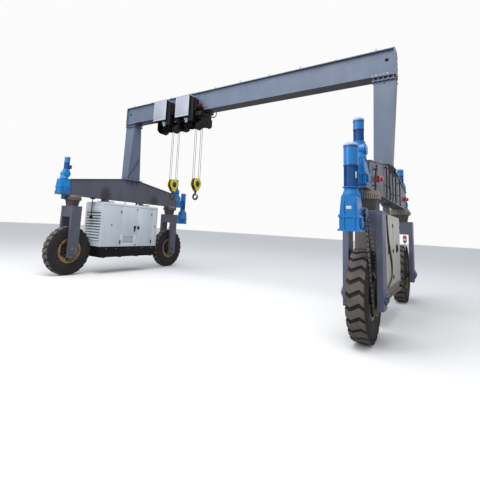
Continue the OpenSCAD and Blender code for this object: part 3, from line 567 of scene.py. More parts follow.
def soft_disc(place, along, radius, depth, edge=0.003, sides=32):
    """A round plate or pin with bevelled rims, centred on place, its axis along a vector."""
    choose()
    bpy.ops.mesh.primitive_cylinder_add(vertices=sides, radius=radius, depth=depth)
    piece = bpy.context.object
    bpy.ops.object.mode_set(mode="EDIT")
    bpy.ops.mesh.select_mode(type="EDGE")
    bpy.ops.mesh.select_all(action="DESELECT")
    bpy.ops.object.mode_set(mode="OBJECT")
    for line in piece.data.edges:
        heights = [piece.data.vertices[i].co.z for i in line.vertices]
        line.select = abs(heights[0] - heights[1]) < depth / 2
    bpy.ops.object.mode_set(mode="EDIT")
    bpy.ops.mesh.bevel(offset=edge, segments=2, affect="EDGES")
    bpy.ops.object.mode_set(mode="OBJECT")
    piece.data.transform(facing(place, along))
    return piece


def lathe(middle, axis, points, steps=48):
    """A profile of (radius, offset along the axis) points, drawn point by point and spun."""
    choose()
    middle, along = Vector(middle), Vector(axis)
    out = Vector(Z_AXIS if axis == X_AXIS else X_AXIS)
    spots = [middle + out * radius + along * offset for radius, offset in points]
    bpy.ops.mesh.primitive_plane_add(size=0.001, location=spots[0])
    piece = bpy.context.object
    bpy.ops.object.transform_apply(location=True, rotation=True, scale=True)
    bpy.ops.object.mode_set(mode="EDIT")
    bpy.ops.mesh.select_mode(type="VERT")
    bpy.ops.mesh.select_all(action="SELECT")
    bpy.ops.mesh.merge(type="CENTER")
    for here, there in zip(spots, spots[1:]):
        bpy.ops.mesh.extrude_vertices_move(TRANSFORM_OT_translate={"value": there - here})
    bpy.ops.mesh.select_all(action="SELECT")
    bpy.ops.mesh.spin(steps=steps, angle=2 * pi, center=middle, axis=along)
    bpy.ops.mesh.select_all(action="SELECT")
    bpy.ops.mesh.remove_doubles(threshold=0.0002)
    bpy.ops.mesh.normals_make_consistent(inside=False)
    bpy.ops.object.mode_set(mode="OBJECT")
    return piece


def ring(middle, axis, points, steps=48):
    """A turned ring: its profile closes on itself, off the axis."""
    return lathe(middle, axis, [*points, points[0]], steps)


def copies_at(master, matrices):
    """Copies of a small piece, each with its own mesh moved by a matrix, as one piece."""
    copies = []
    for matrix in matrices:
        twin = master.copy()
        twin.data = master.data.copy()
        twin.data.transform(matrix)
        bpy.context.collection.objects.link(twin)
        copies.append(twin)
    bpy.data.objects.remove(master)
    return joined(*copies)


def repeat(master, places):
    """Copies of a piece that stands on z = 0, each facing its own direction."""
    return copies_at(master, [facing(place, along) for place, along in places])


def bolts(name, body, radius, places, material=BOLT):
    """Hexagon heads on washers."""
    washer = soft_disc((0, 0, radius * 0.10), Z_AXIS, radius * 1.35, radius * 0.20, radius * 0.05, 16)
    head = soft_disc((0, 0, radius * 0.52), Z_AXIS, radius, radius * 0.68, radius * 0.12, 6)
    settle(name, body, material, repeat(joined(washer, head), places))


def ring_places(middle, along, radius, count, start=0.0):
    """Places on a circle about an axis along X or Z, all facing the same way."""
    found = []
    for i in range(count):
        angle = start + 2 * pi * i / count
        first, second = radius * cos(angle), radius * sin(angle)
        shift = (0, first, second) if abs(along[0]) > 0.5 else (first, second, 0)
        found.append((shifted(middle, *shift), along))
    return found


def tube(points, radius, kind="POLY", cyclic=False, sides=2):
    """A rod or bead along points, as a mesh."""
    curve = bpy.data.curves.new("tube", "CURVE")
    curve.dimensions = "3D"
    curve.bevel_depth = radius
    curve.bevel_resolution = sides
    curve.resolution_u = 5
    curve.use_fill_caps = True
    spline = curve.splines.new(kind)
    spline.points.add(len(points) - 1)
    for spot, point in zip(spline.points, points):
        spot.co = (*point, 1)
    if kind == "NURBS":
        spline.order_u = 4
        spline.use_endpoint_u = not cyclic
    spline.use_cyclic_u = cyclic
    piece = bpy.data.objects.new("tube", curve)
    bpy.context.collection.objects.link(piece)
    choose(piece)
    bpy.ops.object.convert(target="MESH")
    return bpy.context.object


def weld_beads(name, body, material, runs):
    """Weld beads along straight runs, each run a list of points."""
    settle(name, body, material, *[tube(run, WELD_RADIUS) for run in runs], angle=60)


def own_frame(corner, along_y):
    """A drive's own frame, turned half round at the far end of the beam."""
    middle = Vector((SIDES[corner[0]] * WHEEL_X, ENDS[corner[1]] * along_y, 0))
    flip = -ENDS[corner[1]]

    def at(x, y, z):
        return middle + Vector((flip * x, flip * y, z))
    return at


def box_at(at, low, high, edge=0.003):
    """A soft box between two corners in a drive's own frame."""
    pairs = [sorted(pair) for pair in zip(at(*low), at(*high))]
    return soft_box([pair[0] for pair in pairs], [pair[1] for pair in pairs], edge)


def plates_on(x, face):
    """Makes plates raised on a side at x that looks along face."""
    def plate(y_low, z_low, y_high, z_high, depth, edge):
        near, far = sorted((x - face * 0.002, x + face * depth))
        return soft_box((near, y_low, z_low), (far, y_high, z_high), edge)
    return plate


# Wheels

def sidewall_rings(corner, material):
    """Raised rings moulded on each sidewall: by the bead, at the middle and at the shoulder."""
    rings = []
    for side in (-1, 1):
        for radius, offset, width, height in ((0.372, 0.118, 0.016, 0.004), (0.478, 0.1355, 0.008, 0.0035),
                                              (0.575, 0.1325, 0.010, 0.0045)):
            inside, outside = side * (offset - 0.004), side * (offset + height)
            points = [(radius - width, inside), (radius - width * 0.6, outside),
                      (radius + width * 0.6, outside), (radius + width, inside)]
            rings.append(ring(wheel_middle(corner), X_AXIS, points, 72))
    settle("sidewall_rings_" + corner, "wheel_" + corner, material, *rings)


def shoulder_bars(corner, material):
    """Short bars moulded on the shoulders, between and under the tread lugs."""
    bar = soft_box((-0.023, -0.008, -0.006), (0.023, 0.008, 0.006), 0.003)
    count = 48
    matrices = []
    for side in (-1, 1):
        lean = Matrix.Rotation(side * radians(-102), 4, "Y")
        out = Matrix.Translation((side * 0.1285, 0, 0.611))
        for i in range(count):
            turn = Matrix.Rotation(2 * pi * i / count, 4, "X")
            matrices.append(Matrix.Translation(wheel_middle(corner)) @ turn @ out @ lean)
    settle("shoulder_bars_" + corner, "wheel_" + corner, material, copies_at(bar, matrices))


def hub_details(corner):
    """Nuts on the hub flanges and the disc, a brake drum and two air valves."""
    middle = wheel_middle(corner)
    body = "wheel_" + corner
    flange_x, flange_bolts = 0.1285, 0.106
    nuts = []
    for side in (-1, 1):
        nuts += ring_places(shifted(middle, side * flange_x), (side, 0, 0), flange_bolts, 10, radians(18))
    bolts("hub_nuts_" + corner, body, 0.0105, nuts)
    disc = ring_places(shifted(middle, 0.0435), (1, 0, 0), 0.150, 10, 0.31)
    disc += ring_places(shifted(middle, 0.0145), (-1, 0, 0), 0.178, 10, 0.13)
    bolts("disc_nuts_" + corner, body, 0.0095, disc)
    drum = [(0.131, -0.052), (0.284, -0.052), (0.292, -0.045), (0.292, 0.006), (0.285, 0.010), (0.131, 0.010)]
    settle("brake_drum_" + corner, body, HOOK, ring(middle, X_AXIS, drum, 64))
    valve = joined(soft_disc((0, 0, 0), Z_AXIS, 0.006, 0.07, 0.001, 12),
                   soft_disc((0, 0, -0.02), Z_AXIS, 0.011, 0.018, 0.002, 12))
    places = [(shifted(middle, 0.06, 0.278, 0.03), (0.6, -0.8, 0)),
              (shifted(middle, -0.02, -0.278, -0.03), (-0.6, 0.8, 0))]
    settle("air_valve_" + corner, body, BOLT, repeat(valve, places))


# Forks

# Seals on the axle covers: distance from the wheel plane, steps round, and (radius, height) points
SEALS = ((0.3025, 40, ((0.049, 0.0), (0.049, 0.008), (0.054, 0.011), (0.063, 0.011), (0.067, 0.007),
                       (0.067, 0.0))),
         (0.3265, 32, ((0.013, 0.0), (0.013, 0.007), (0.017, 0.009), (0.026, 0.009), (0.030, 0.005),
                       (0.030, 0.0))))


def fork_details(corner):
    """Bolts, seals and nipples of the axle covers, bolts under the toothed ring, and weld beads."""
    middle = wheel_middle(corner)
    body = "fork_" + corner
    cover_x, nipple_x = 0.3045, 0.329
    places = []
    for side in (-1, 1):
        places += ring_places(shifted(middle, side * cover_x), (side, 0, 0), 0.084, 8, radians(22.5))
    bolts("cover_bolts_" + corner, body, 0.0115, places)
    rings = []
    for side in (-1, 1):
        for out, steps, seal in SEALS:
            points = [(radius, side * height) for radius, height in seal]
            rings.append(ring(shifted(middle, side * out), X_AXIS, points, steps))
    settle("hub_seals_" + corner, body, HOOK, *rings)
    nipple = joined(soft_disc((0, 0, 0.010), Z_AXIS, 0.006, 0.018, 0.0015, 10),
                    soft_disc((0, 0, 0.002), Z_AXIS, 0.014, 0.006, 0.001, 6))
    nipples = [(shifted(middle, side * nipple_x), (side, 0, 0)) for side in (-1, 1)]
    settle("grease_nipples_" + corner, body, BOLT, repeat(nipple, nipples))
    under_ring = (middle.x, middle.y, 2.1217)
    bolts("ring_bolts_" + corner, body, 0.0085, ring_places(under_ring, DOWN, 0.2175, 24))
    blade_x, blade_y, shoulder_x = 0.196, 0.1465, 0.281
    runs = []
    for x in (-blade_x, blade_x):
        runs += [[shifted(middle, x, y, z) for z in (0.955, 1.24)] for y in (-blade_y, blade_y)]
        runs.append([shifted(middle, x, y, 0.949) for y in (-0.14, 0.14)])
    runs += [[shifted(middle, x, y, 1.242) for y in (-0.15, 0.15)] for x in (-shoulder_x, shoulder_x)]
    base = [spot for spot, _ in ring_places((middle.x, middle.y, 1.949), Z_AXIS, 0.169, 40)]
    runs.append(base + base[:1])
    weld_beads("fork_welds_" + corner, body, FORK if corner[0] == "r" else SHADED_LEFT_FORK, runs)


def chain_outline():
    """The chain's closed line round both chain wheels, as (y, z) points in the drive's own frame."""
    small, big = SMALL_CHAIN_WHEEL, Vector((0.0, AXLE_Z))
    away = atan2(big.y - small.y, big.x - small.x)
    spread = acos((SMALL_CHAIN_RADIUS - BIG_CHAIN_RADIUS) / (big - small).length)

    def arc(middle, radius, start, sweep, steps):
        angles = [start + sweep * i / steps for i in range(steps + 1)]
        return [middle + radius * Vector((cos(angle), sin(angle))) for angle in angles]
    line = arc(big, BIG_CHAIN_RADIUS, away - spread, 2 * spread, 90)
    line += arc(small, SMALL_CHAIN_RADIUS, away + spread, 2 * pi - 2 * spread, 30)
    return line + line[:1]


def chain_pins():
    """The places of the chain's pins, evenly along its line."""
    outline = chain_outline()
    lengths = [0.0]
    for here, there in zip(outline, outline[1:]):
        lengths.append(lengths[-1] + (there - here).length)
    count = 2 * round(lengths[-1] / CHAIN_PITCH / 2)
    pins = []
    segment = 0
    for i in range(count):
        goal = lengths[-1] * i / count
        while lengths[segment + 1] < goal:
            segment += 1
        part = (goal - lengths[segment]) / (lengths[segment + 1] - lengths[segment])
        pins.append(outline[segment].lerp(outline[segment + 1], part))
    return pins


def chain_link(offset, pitch):
    """A roller and two link plates, each offset from the middle of the chain."""
    pieces = [soft_disc((0, 0, 0), X_AXIS, 0.0075, 0.018, 0.001, 12)]
    for side in (-1, 1):
        x = side * offset
        pieces += [soft_disc((x, y, 0), X_AXIS, 0.0088, 0.0022, 0.0005, 14) for y in (0, pitch)]
        pieces.append(soft_box((x - 0.0011, 0.001, -0.0062), (x + 0.0011, pitch - 0.001, 0.0062), 0.0005, 1))
    return joined(*pieces)


def chain_links(corner):
    """Roller chain links round the two chain wheels, in place of the plain band."""
    flip = -ENDS[corner[1]]
    x = SIDES[corner[0]] * (WHEEL_X + 0.158)
    pins = chain_pins()
    pitch = (pins[1] - pins[0]).length
    matrices = []
    for pin, after in zip(pins, pins[1:] + pins[:1]):
        step = after - pin
        turn = Matrix.Rotation(flip * atan2(step.y, step.x) + (0 if flip > 0 else pi), 4, "X")
        matrices.append(Matrix.Translation((x, ENDS[corner[1]] * WHEEL_Y + flip * pin.x, pin.y)) @ turn)
    for label, first, offset, material in (("inner", 1, 0.0062, HOOK), ("outer", 0, 0.0085, CHAIN)):
        links = copies_at(chain_link(offset, pitch), matrices[first::2])
        links = settle("chain_" + label + "_links_" + corner, "fork_" + corner, material, links)
        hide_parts("chain_" + corner)


# End beams, legs and girder

def beam_details(side):
    """Bolts of the upper slewing rings, weld beads along the beam's box, and the leg's bolts."""
    name = "left" if side < 0 else "right"
    x = side * WHEEL_X
    clear_of_beam = 0.160
    places = []
    for end in (-1, 1):
        circle = ring_places((x, end * WHEEL_Y, 2.250), Z_AXIS, 0.196, 28, radians(6.4))
        places += [(spot, along) for spot, along in circle if abs(spot.x - x) > clear_of_beam]
    bolts("slewing_bolts_" + name, "root", 0.011, places)
    bottom_seam = ((-2.275, 2.2765), (2.275, 2.2765))
    top_seam = ((-2.275, 2.694), (-0.45, 2.951), (0.45, 2.951), (2.275, 2.694))
    walls = (x - 0.126, x + 0.126)
    runs = [[(wall, y, z) for y, z in seam] for wall in walls for seam in (bottom_seam, top_seam)]
    weld_beads("beam_welds_" + name, "root", SHADED_LEFT_BEAM if side < 0 else BEAM, runs)
    inner, outer, top = side * 3.744, side * 4.086, 2.997
    foot = []
    for y in (-0.300, -0.250, -0.150, -0.055, 0.055, 0.150, 0.250, 0.300):
        foot += [((inner, y, top), Z_AXIS), ((outer, y, top), Z_AXIS), ((inner, y, 2.975), DOWN)]
    foot += [((side * bolt_x, y, top), Z_AXIS)
             for bolt_x in (3.80, 3.86, 3.97, 4.03) for y in (-0.330, 0.330)]
    bolts("foot_bolts_" + name, "root", 0.014, foot)
    head = [((side * bolt_x, y, 4.848), DOWN)
            for bolt_x in (3.775, 3.860, 3.935, 4.030, 4.110, 4.170) for y in (-0.182, 0.182)]
    bolts("head_bolts_" + name, "root", 0.012, head)


def girder_details():
    """Weld beads along the flanges, and the bolts of both ends."""
    runs = [[(x, y, z) for x in (-4.17, 4.17)] for y in (-0.131, 0.131) for z in (4.9845, 5.5255)]
    weld_beads("girder_welds", "root", STRUCTURE, runs)
    places = []
    for side in (-1, 1):
        for x in (3.75, 3.82, 3.90, 3.97, 4.04):
            places += [((side * x, face * 0.130, 5.012), (0, face, 0)) for face in (-1, 1)]
        for z in (5.02, 5.16, 5.30, 5.44):
            places += [((side * 4.2, y, z), (side, 0, 0)) for y in (-0.155, 0.155)]
    bolts("girder_bolts", "root", 0.011, places)


# Steering and travel drives

def motor_details(name, body, at, y, low, radius, height, plate_turn):
    """Cap, bands, terminal box and flange bolts of an upright motor, and a blank plate at an angle."""
    fins_top = low + 0.014 + 0.46 * height
    cowl_top = low + height - 0.030
    face = y + radius
    dome = [(0.0, 0.038), (radius * 0.35, 0.035), (radius * 0.75, 0.026), (radius * 1.02, 0.010),
            (radius * 1.05, 0.0), (radius * 1.05, -0.012), (radius * 1.01, -0.014), (radius * 0.9, -0.004),
            (0.0, -0.004)]
    # The cap's pale blue is a painted sky reflection on blue paint
    settle("fan_cap_" + name, body, CAP_PAINT_AND_REFLECTION, lathe(at(0, y, cowl_top), Z_AXIS, dome))
    band = [(radius - 0.002, 0.0), (radius * 1.03, 0.002), (radius * 1.03, 0.020), (radius - 0.002, 0.022)]
    bands = [ring(at(0, y, z), Z_AXIS, band) for z in (cowl_top - 0.040, fins_top - 0.004)]
    settle("motor_bands_" + name, body, DARK_BLUE, *bands)
    box_low, box_high = low + 0.045, fins_top - 0.050
    settle("terminal_box_" + name, body, BLUE if plate_turn else DARK_BLUE,
           box_at(at, (-0.046, y + radius * 0.90, box_low), (0.046, face + 0.052, box_high), 0.006),
           box_at(at, (-0.050, face + 0.050, box_low - 0.004), (0.050, face + 0.060, box_high + 0.004)))
    gland = soft_disc(at(0, face + 0.022, box_low - 0.012), Z_AXIS, 0.014, 0.03, 0.003, 12)
    settle("cable_gland_" + name, body, CABLE, gland)
    screws = [(at(x, face + 0.060, z), at(0, 1, 0) - at(0, 0, 0))
              for x in (-0.038, 0.038) for z in (box_low + 0.008, box_high - 0.008)]
    screws += ring_places(at(0, y, low + 0.014), Z_AXIS, radius * 1.02, 8, 0.2)
    bolts("motor_screws_" + name, body, 0.0055, screws)
    if plate_turn:
        plate = soft_box((-0.011, -0.003, -0.045), (0.011, 0.003, 0.045), 0.0015)
        out = Vector((cos(plate_turn), sin(plate_turn), 0))
        spot = at(0, y, (low + fins_top) / 2 + 0.02) + out * radius * 0.985
        turned = Matrix.Translation(spot) @ Matrix.Rotation(plate_turn + pi / 2, 4, "Z")
        settle("blank_plate_" + name, body, PLATE, copies_at(plate, [turned]))


def side_circles(at, x, y, z, radius, count, start=0.0):
    """Bolt circles on both sides of a drive."""
    found = []
    for side in (-1, 1):
        found += ring_places(at(side * x, y, z), at(side, 0, 0) - at(0, 0, 0), radius, count, start)
    return found


def case_bolts(name, body, at, y, low, depth, height):
    """Bolts of a gear case: round its shaft covers, along its waist and at its feet."""
    waist = low + 0.42 * height
    places = side_circles(at, 0.142, y, low + 0.21 * height + 0.014, 0.061, 6, 0.4)
    for side in (-1, 1):
        for step in (-0.13, -0.045, 0.045, 0.13):
            places.append((at(side * 0.1315, y + step, waist + 0.016), Z_AXIS))
            places.append((at(side * 0.1315, y + step, waist - 0.016), DOWN))
        places += [(at(side * 0.1355, y + step, low + 0.024), Z_AXIS) for step in (-0.11, 0.11)]
    front = y - depth / 2 - 0.0075
    places += [(at(x, front, waist + 0.016), Z_AXIS) for x in (-0.09, -0.03, 0.03, 0.09)]
    bolts("case_bolts_" + name, body, 0.0062, places, BLUE)


def steering_details(corner):
    """A steering drive stands at the end of its beam. It has a second gear stage and a lifting eye."""
    at = own_frame(corner, STEER_Y)
    name = "steer_" + corner
    case_bolts(name, "root", at, -0.040, 2.305, 0.300, 0.383)
    stage = side_circles(at, 0.098, -0.010, 2.844, 0.087, 8, 0.39)
    bolts("stage_bolts_" + corner, "root", 0.0065, stage, BLUE)
    motor_details(name, "root", at, 0.0, 2.968, 0.078, 0.390, None)
    angles = [pi * i / 8 for i in range(16)]
    eye = tube([at(0.030 * cos(a), -0.105, 2.790 + 0.030 * sin(a)) for a in angles], 0.008, "NURBS", True)
    settle("lifting_eye_" + corner, "root", BLUE, eye, angle=60)


def travel_details(corner):
    """A travel drive hangs on its fork. Its case and its motor carry a blank plate each."""
    at = own_frame(corner, WHEEL_Y)
    name = "travel_" + corner
    body = "fork_" + corner
    y, low, depth, height = -0.800, 1.614, 0.260, 0.476
    case_bolts(name, body, at, y, low, depth, height)
    front = y - depth / 2
    plate_low, plate_high = low + 0.62 * height, low + 0.71 * height
    plate = box_at(at, (-0.034, front - 0.003, plate_low), (0.034, front + 0.001, plate_high), 0.001)
    settle("case_plate_" + name, body, PLATE, plate)
    motor_details(name, body, at, y, 2.210, 0.098, 0.640, radians(-34.5 if corner[1] == "n" else 145.5))
    shaft = side_circles(at, 0.125, SMALL_CHAIN_WHEEL.x, SMALL_CHAIN_WHEEL.y, 0.078, 6)
    bolts("shaft_bolts_" + corner, body, 0.0070, shaft, BLUE)


# Generating set and cabinet

def generator_side(face):
    """Doors, hinges, latches and locks on one long side of the generating set."""
    x = GEN_X + face * GEN_HALF_W
    name = "in" if face > 0 else "out"
    plate = plates_on(x, face)
    low, high = 0.835, 2.040
    doors = [(-1.355, low, -0.671, high), (-0.657, low, 0.011, high), (0.025, low, 0.681, high),
             (0.695, low, 0.910, high)]
    if face > 0:
        del doors[1]
        doors += [(-0.657, 1.175, 0.011, high), (-0.657, low, -0.585, 1.168), (-0.095, low, 0.011, 1.168),
                  (-0.580, low, -0.100, 0.885)]
    settle("doors_" + name, "root", WHITE, *[plate(*door, DOOR_RAISE, DOOR_EDGE) for door in doors])
    trim = [plate(-1.372, z_low, 0.922, z_high, 0.006, 0.003)
            for z_low, z_high in ((2.052, 2.072), (0.810, 0.826))]
    settle("housing_trim_" + name, "root", WHITE, *trim)
    darks = []
    for y, z, width, height in ((-0.695, 1.873, 0.020, 0.085), (0.634, 1.865, 0.014, 0.085),
                                (-0.664, 0.943, 0.040, 0.120), (0.670, 0.956, 0.040, 0.110)):
        darks.append(plate(y - width / 2, z - height / 2, y + width / 2, z + height / 2, 0.016, 0.004))
        darks.append(soft_disc((x + face * 0.016, y, z), Z_AXIS, 0.007, height * 1.05, 0.002, 14))
    for y in (-0.086, 0.067):
        darks.append(plate(y - 0.045, 1.345, y + 0.045, 1.455, 0.009, 0.003))
        darks.append(plate(y - 0.034, 1.385, y + 0.034, 1.440, 0.020, 0.006))
        darks.append(plate(y - 0.026, 1.356, y + 0.026, 1.376, 0.028, 0.006))
    darks.append(plate(-0.128, 1.278, -0.062, 1.330, 0.012, 0.004))
    settle("latches_" + name, "root", BLACK, *darks)
    caps = []
    for y, z in ((-1.033, 1.456), (-0.037, 1.987), (0.809, 1.466), (-0.024, 0.843)):
        caps.append(soft_disc((x + face * 0.008, y, z), X_AXIS, 0.021, 0.018, 0.004, 24))
        caps.append(soft_disc((x + face * 0.015, y, z), X_AXIS, 0.010, 0.014, 0.002, 6))
    settle("locks_" + name, "root", BLACK, *caps)
    rivets = [((x + face * 0.004, y, z), (face, 0, 0))
              for y in (-1.33, -0.70, 0.66, 0.885) for z in (0.87, 1.16, 1.62, 2.01)]
    rivet = soft_disc((0, 0, 0.0005), Z_AXIS, 0.006, 0.004, 0.0015, 10)
    settle("rivets_" + name, "root", WHITE, repeat(rivet, rivets))


def control_panel():
    """A sunk control panel with a raised rim and two raised fields, on the inner side."""
    x = GEN_X + GEN_HALF_W - 0.014
    rails = [soft_box((x - 0.002, y0, z0), (x + 0.016, y1, z1), 0.003)
             for y0, z0, y1, z1 in ((-0.570, 0.909, -0.552, 1.146), (-0.129, 0.909, -0.111, 1.146),
                                    (-0.570, 1.130, -0.111, 1.146), (-0.570, 0.908, -0.111, 0.922))]
    settle("panel_frame", "root", WHITE, *rails)
    settle("panel_inset", "root", PANEL,
           soft_box((x - 0.001, -0.550, 0.924), (x + 0.002, -0.131, 1.128), 0.001),
           soft_box((x, -0.330, 0.935), (x + 0.008, -0.150, 1.035), 0.003),
           soft_box((x, -0.535, 0.935), (x + 0.005, -0.360, 1.100), 0.002))


def louvre_details():
    """A black plate behind the louvre's blades as painted shade in their gaps, a frame round them and a hood
    over the top ones.
    """
    def box(x, y_low, y_high, z_low, z_high, edge, segments=2):
        return soft_box((GEN_X + x[0], GEN_FRONT + y_low, z_low), (GEN_X + x[1], GEN_FRONT + y_high, z_high),
                        edge, segments)
    # Black plate at the back of the recess: painted shade seen between the blades
    settle("louvre_shade", "root", BLACK, box((-0.349, 0.349), 0.0330, 0.0346, 0.979, 1.972, 0.0005, 1))
    bars = [box(x, -0.006, 0.004, z_low, z_high, 0.002)
            for x, z_low, z_high in (((-0.362, -0.350), 0.963, 1.988), ((0.350, 0.362), 0.963, 1.988),
                                     ((-0.362, 0.362), 1.976, 1.988), ((-0.362, 0.362), 0.963, 0.975))]
    settle("louvre_frame", "root", WHITE, *bars)
    settle("louvre_hood", "root", WHITE, box((-0.364, 0.364), -0.0155, 0.001, 1.824, 1.990, 0.004))


def outlet_grille():
    """Leaning blades on a plate at the far end of the housing."""
    back = 2 * GEN_Y - GEN_FRONT
    grille = [soft_box((GEN_X - 0.330, back - 0.001, 1.02), (GEN_X + 0.330, back + 0.004, 1.90), 0.0015)]
    lean = Matrix.Rotation(radians(-38), 4, "X")
    for i in range(11):
        blade = soft_box((-0.300, -0.003, -0.030), (0.300, 0.003, 0.030), 0.002)
        grille.append(copies_at(blade, [Matrix.Translation((GEN_X, back + 0.014, 1.06 + 0.08 * i)) @ lean]))
    settle("outlet_grille", "root", WHITE, *grille)


def generator_details():
    for face in (-1, 1):
        generator_side(face)
    control_panel()
    louvre_details()
    outlet_grille()
    x, y = GEN_X - 0.20, 0.62
    pipe = tube([(x, y, z) for z in (2.125, 2.150, 2.185, 2.215)], 0.038, sides=6)
    collar = lathe((x, y, 2.134), Z_AXIS, [(0.036, 0.0), (0.072, 0.0), (0.070, 0.008), (0.040, 0.014)], 32)
    settle("exhaust_stub", "root", BLACK, pipe, collar)
    feet = [((GEN_X + face * GEN_HALF_W, y, 0.745), (face, 0, 0))
            for face in (-1, 1) for y in (-1.15, -0.78, -0.30, 0.30, 0.72)]
    bolts("base_bolts", "root", 0.010, feet)


def cabinet_side(face):
    """Four raised doors with handles, hinges and vents on one long side of the cabinet."""
    x = CAB_X + face * 0.235
    name = "out" if face > 0 else "in"
    plate = plates_on(x, face)
    doors, darks, vents = [], [], []
    for i in range(4):
        low = CAB_FRONT + 0.0125 + 0.5125 * i
        high = low + 0.4875
        handle, hinge = (high - 0.045, low + 0.012) if i % 2 == 0 else (low + 0.045, high - 0.012)
        doors.append(plate(low, 0.700, high, 1.880, DOOR_RAISE, DOOR_EDGE))
        darks.append(plate(handle - 0.014, 1.240, handle + 0.014, 1.420, 0.012, 0.004))
        darks.append(plate(handle - 0.008, 1.270, handle + 0.008, 1.395, 0.024, 0.004))
        darks += [soft_disc((x + face * 0.008, hinge, z), Z_AXIS, 0.008, 0.070, 0.002, 14)
                  for z in (0.80, 1.29, 1.78)]
        vents += [plate(low + 0.14, 0.780 + 0.022 * k, high - 0.14, 0.790 + 0.022 * k, 0.010, 0.003)
                  for k in range(6)]
    settle("cabinet_doors_" + name, "root", CABINET, *doors)
    settle("cabinet_handles_" + name, "root", BLACK, *darks)
    settle("cabinet_vents_" + name, "root", CABINET, *vents)


def cabinet_details():
    for face in (-1, 1):
        cabinet_side(face)
    places = [((CAB_X + face * 0.211, y, 0.575), (face, 0, 0))
              for face in (-1, 1) for y in (-1.10, -0.62, -0.17, 0.28, 0.76)]
    bolts("channel_bolts", "root", 0.010, places)


# Cables, stop buttons, the lamp and the sensor

# The radius of each cable on the right end beam, and its clips as (y, z)
CLIPPED_CABLES = (
    (0.016, ((-2.053, 2.35), (-1.950, 2.625))),
    (0.012, ((-0.915, 2.50), (-0.915, 2.83))),
    (0.014, ((-0.610, 2.50), (-0.612, 2.86))),
    (0.010, ((-0.158, 2.42), (-0.180, 2.85))),
    (0.014, ((0.195, 2.42), (0.208, 2.84))),
    (0.012, ((0.870, 2.50), (0.845, 2.76))))


def cable_clips():
    """Saddles that hold the cables on the right end beam."""
    beam_face, strap = 4.0875, 0.003
    clips = []
    for radius, spots in CLIPPED_CABLES:
        half, outside = radius + 0.005, beam_face + 2 * radius + strap
        clips += [soft_box((4.064, y - half, z - 0.008), (outside, y + half, z + 0.008), 0.003)
                  for y, z in spots]
    settle("cable_clips", "root", CABLE, *clips)


def stop_details():
    """A pale ring and a red mushroom head on each stop box."""
    head = [(0.0, 0.044), (0.024, 0.041), (0.038, 0.032), (0.043, 0.018), (0.039, 0.004), (0.024, 0.0),
            (0.0, 0.0)]
    collar = [(0.024, -0.002), (0.047, -0.002), (0.047, 0.003), (0.041, 0.006), (0.024, 0.006)]
    for name, y in (("near", -1.780), ("far", 1.798)):
        settle("stop_head_" + name, "root", RED, lathe((4.135, y, 2.490), X_AXIS, head, 32))
        settle("stop_ring_" + name, "root", PLATE, ring((4.129, y, 2.490), X_AXIS, collar, 32))


def lamp_and_sensor():
    """The red lamp with a pale band on the right far fork, and the tip of the hanging sensor."""
    x, y = 4.060, 1.896
    cap = [(0.0, 0.180), (0.022, 0.176), (0.038, 0.160), (0.042, 0.135), (0.042, 0.100), (0.0, 0.100)]
    band = [(0.0, 0.100), (0.045, 0.100), (0.045, 0.052), (0.0, 0.052)]
    base = [(0.0, 0.052), (0.040, 0.052), (0.040, 0.022), (0.030, 0.0), (0.0, 0.0)]
    for label, profile, material in (("cap", cap, RED), ("band", band, PLATE), ("base", base, RED)):
        settle("fork_lamp_" + label, "fork_rf", material, lathe((x, y, 1.435), Z_AXIS, profile, 32))
    fork_face = 1.9462
    arms = [soft_box((x - 0.016, y - 0.012, low), (x + 0.016, fork_face, high), 0.003)
            for low, high in ((1.262, 1.286), (1.395, 1.411))]
    stem = soft_disc((x, y, 1.345), Z_AXIS, 0.011, 0.185, 0.002, 16)
    settle("fork_lamp_stem", "fork_rf", PLATE, stem, *arms)
    tip = soft_disc((-3.835, GEN_FRONT - 0.120, 1.640), Z_AXIS, 0.018, 0.05, 0.004, 20)
    settle("sensor_tip", "root", CABLE, tip)


# Hoists

def hoist_box_details(i):
    """Dark plates beside and under the control box, its rim and its door."""
    x = HOOK_X[i]
    body = "hoist_" + i
    right, left = x - 0.085, x - 0.600
    settle("hoist_guards_" + i, body, BLACK,
           soft_box((right - 0.002, -0.446, 4.776), (right + 0.006, -0.216, 5.398), 0.002),
           soft_box((left, -0.447, 4.762), (right - 0.004, -0.216, 4.771), 0.002),
           soft_box((right + 0.008, -0.405, 4.610), (right + 0.140, -0.214, 5.330), 0.010),
           soft_box((right + 0.140, -0.350, 4.930), (right + 0.205, -0.222, 5.270), 0.008))
    front = -0.450
    rim = [soft_box((low, front - 0.008, z_low), (high, front, z_high), 0.003)
           for low, high, z_low, z_high in ((left, x - 0.585, 4.785, 5.395),
                                            (right - 0.020, right - 0.005, 4.785, 5.395),
                                            (left, right - 0.005, 4.775, 4.790))]
    settle("box_rim_" + i, body, PALE, *rim)
    door = soft_box((x - 0.575, front - 0.005, 4.805), (right - 0.030, front, 5.380), 0.002)
    settle("box_door_" + i, body, BOX_DOOR, door)


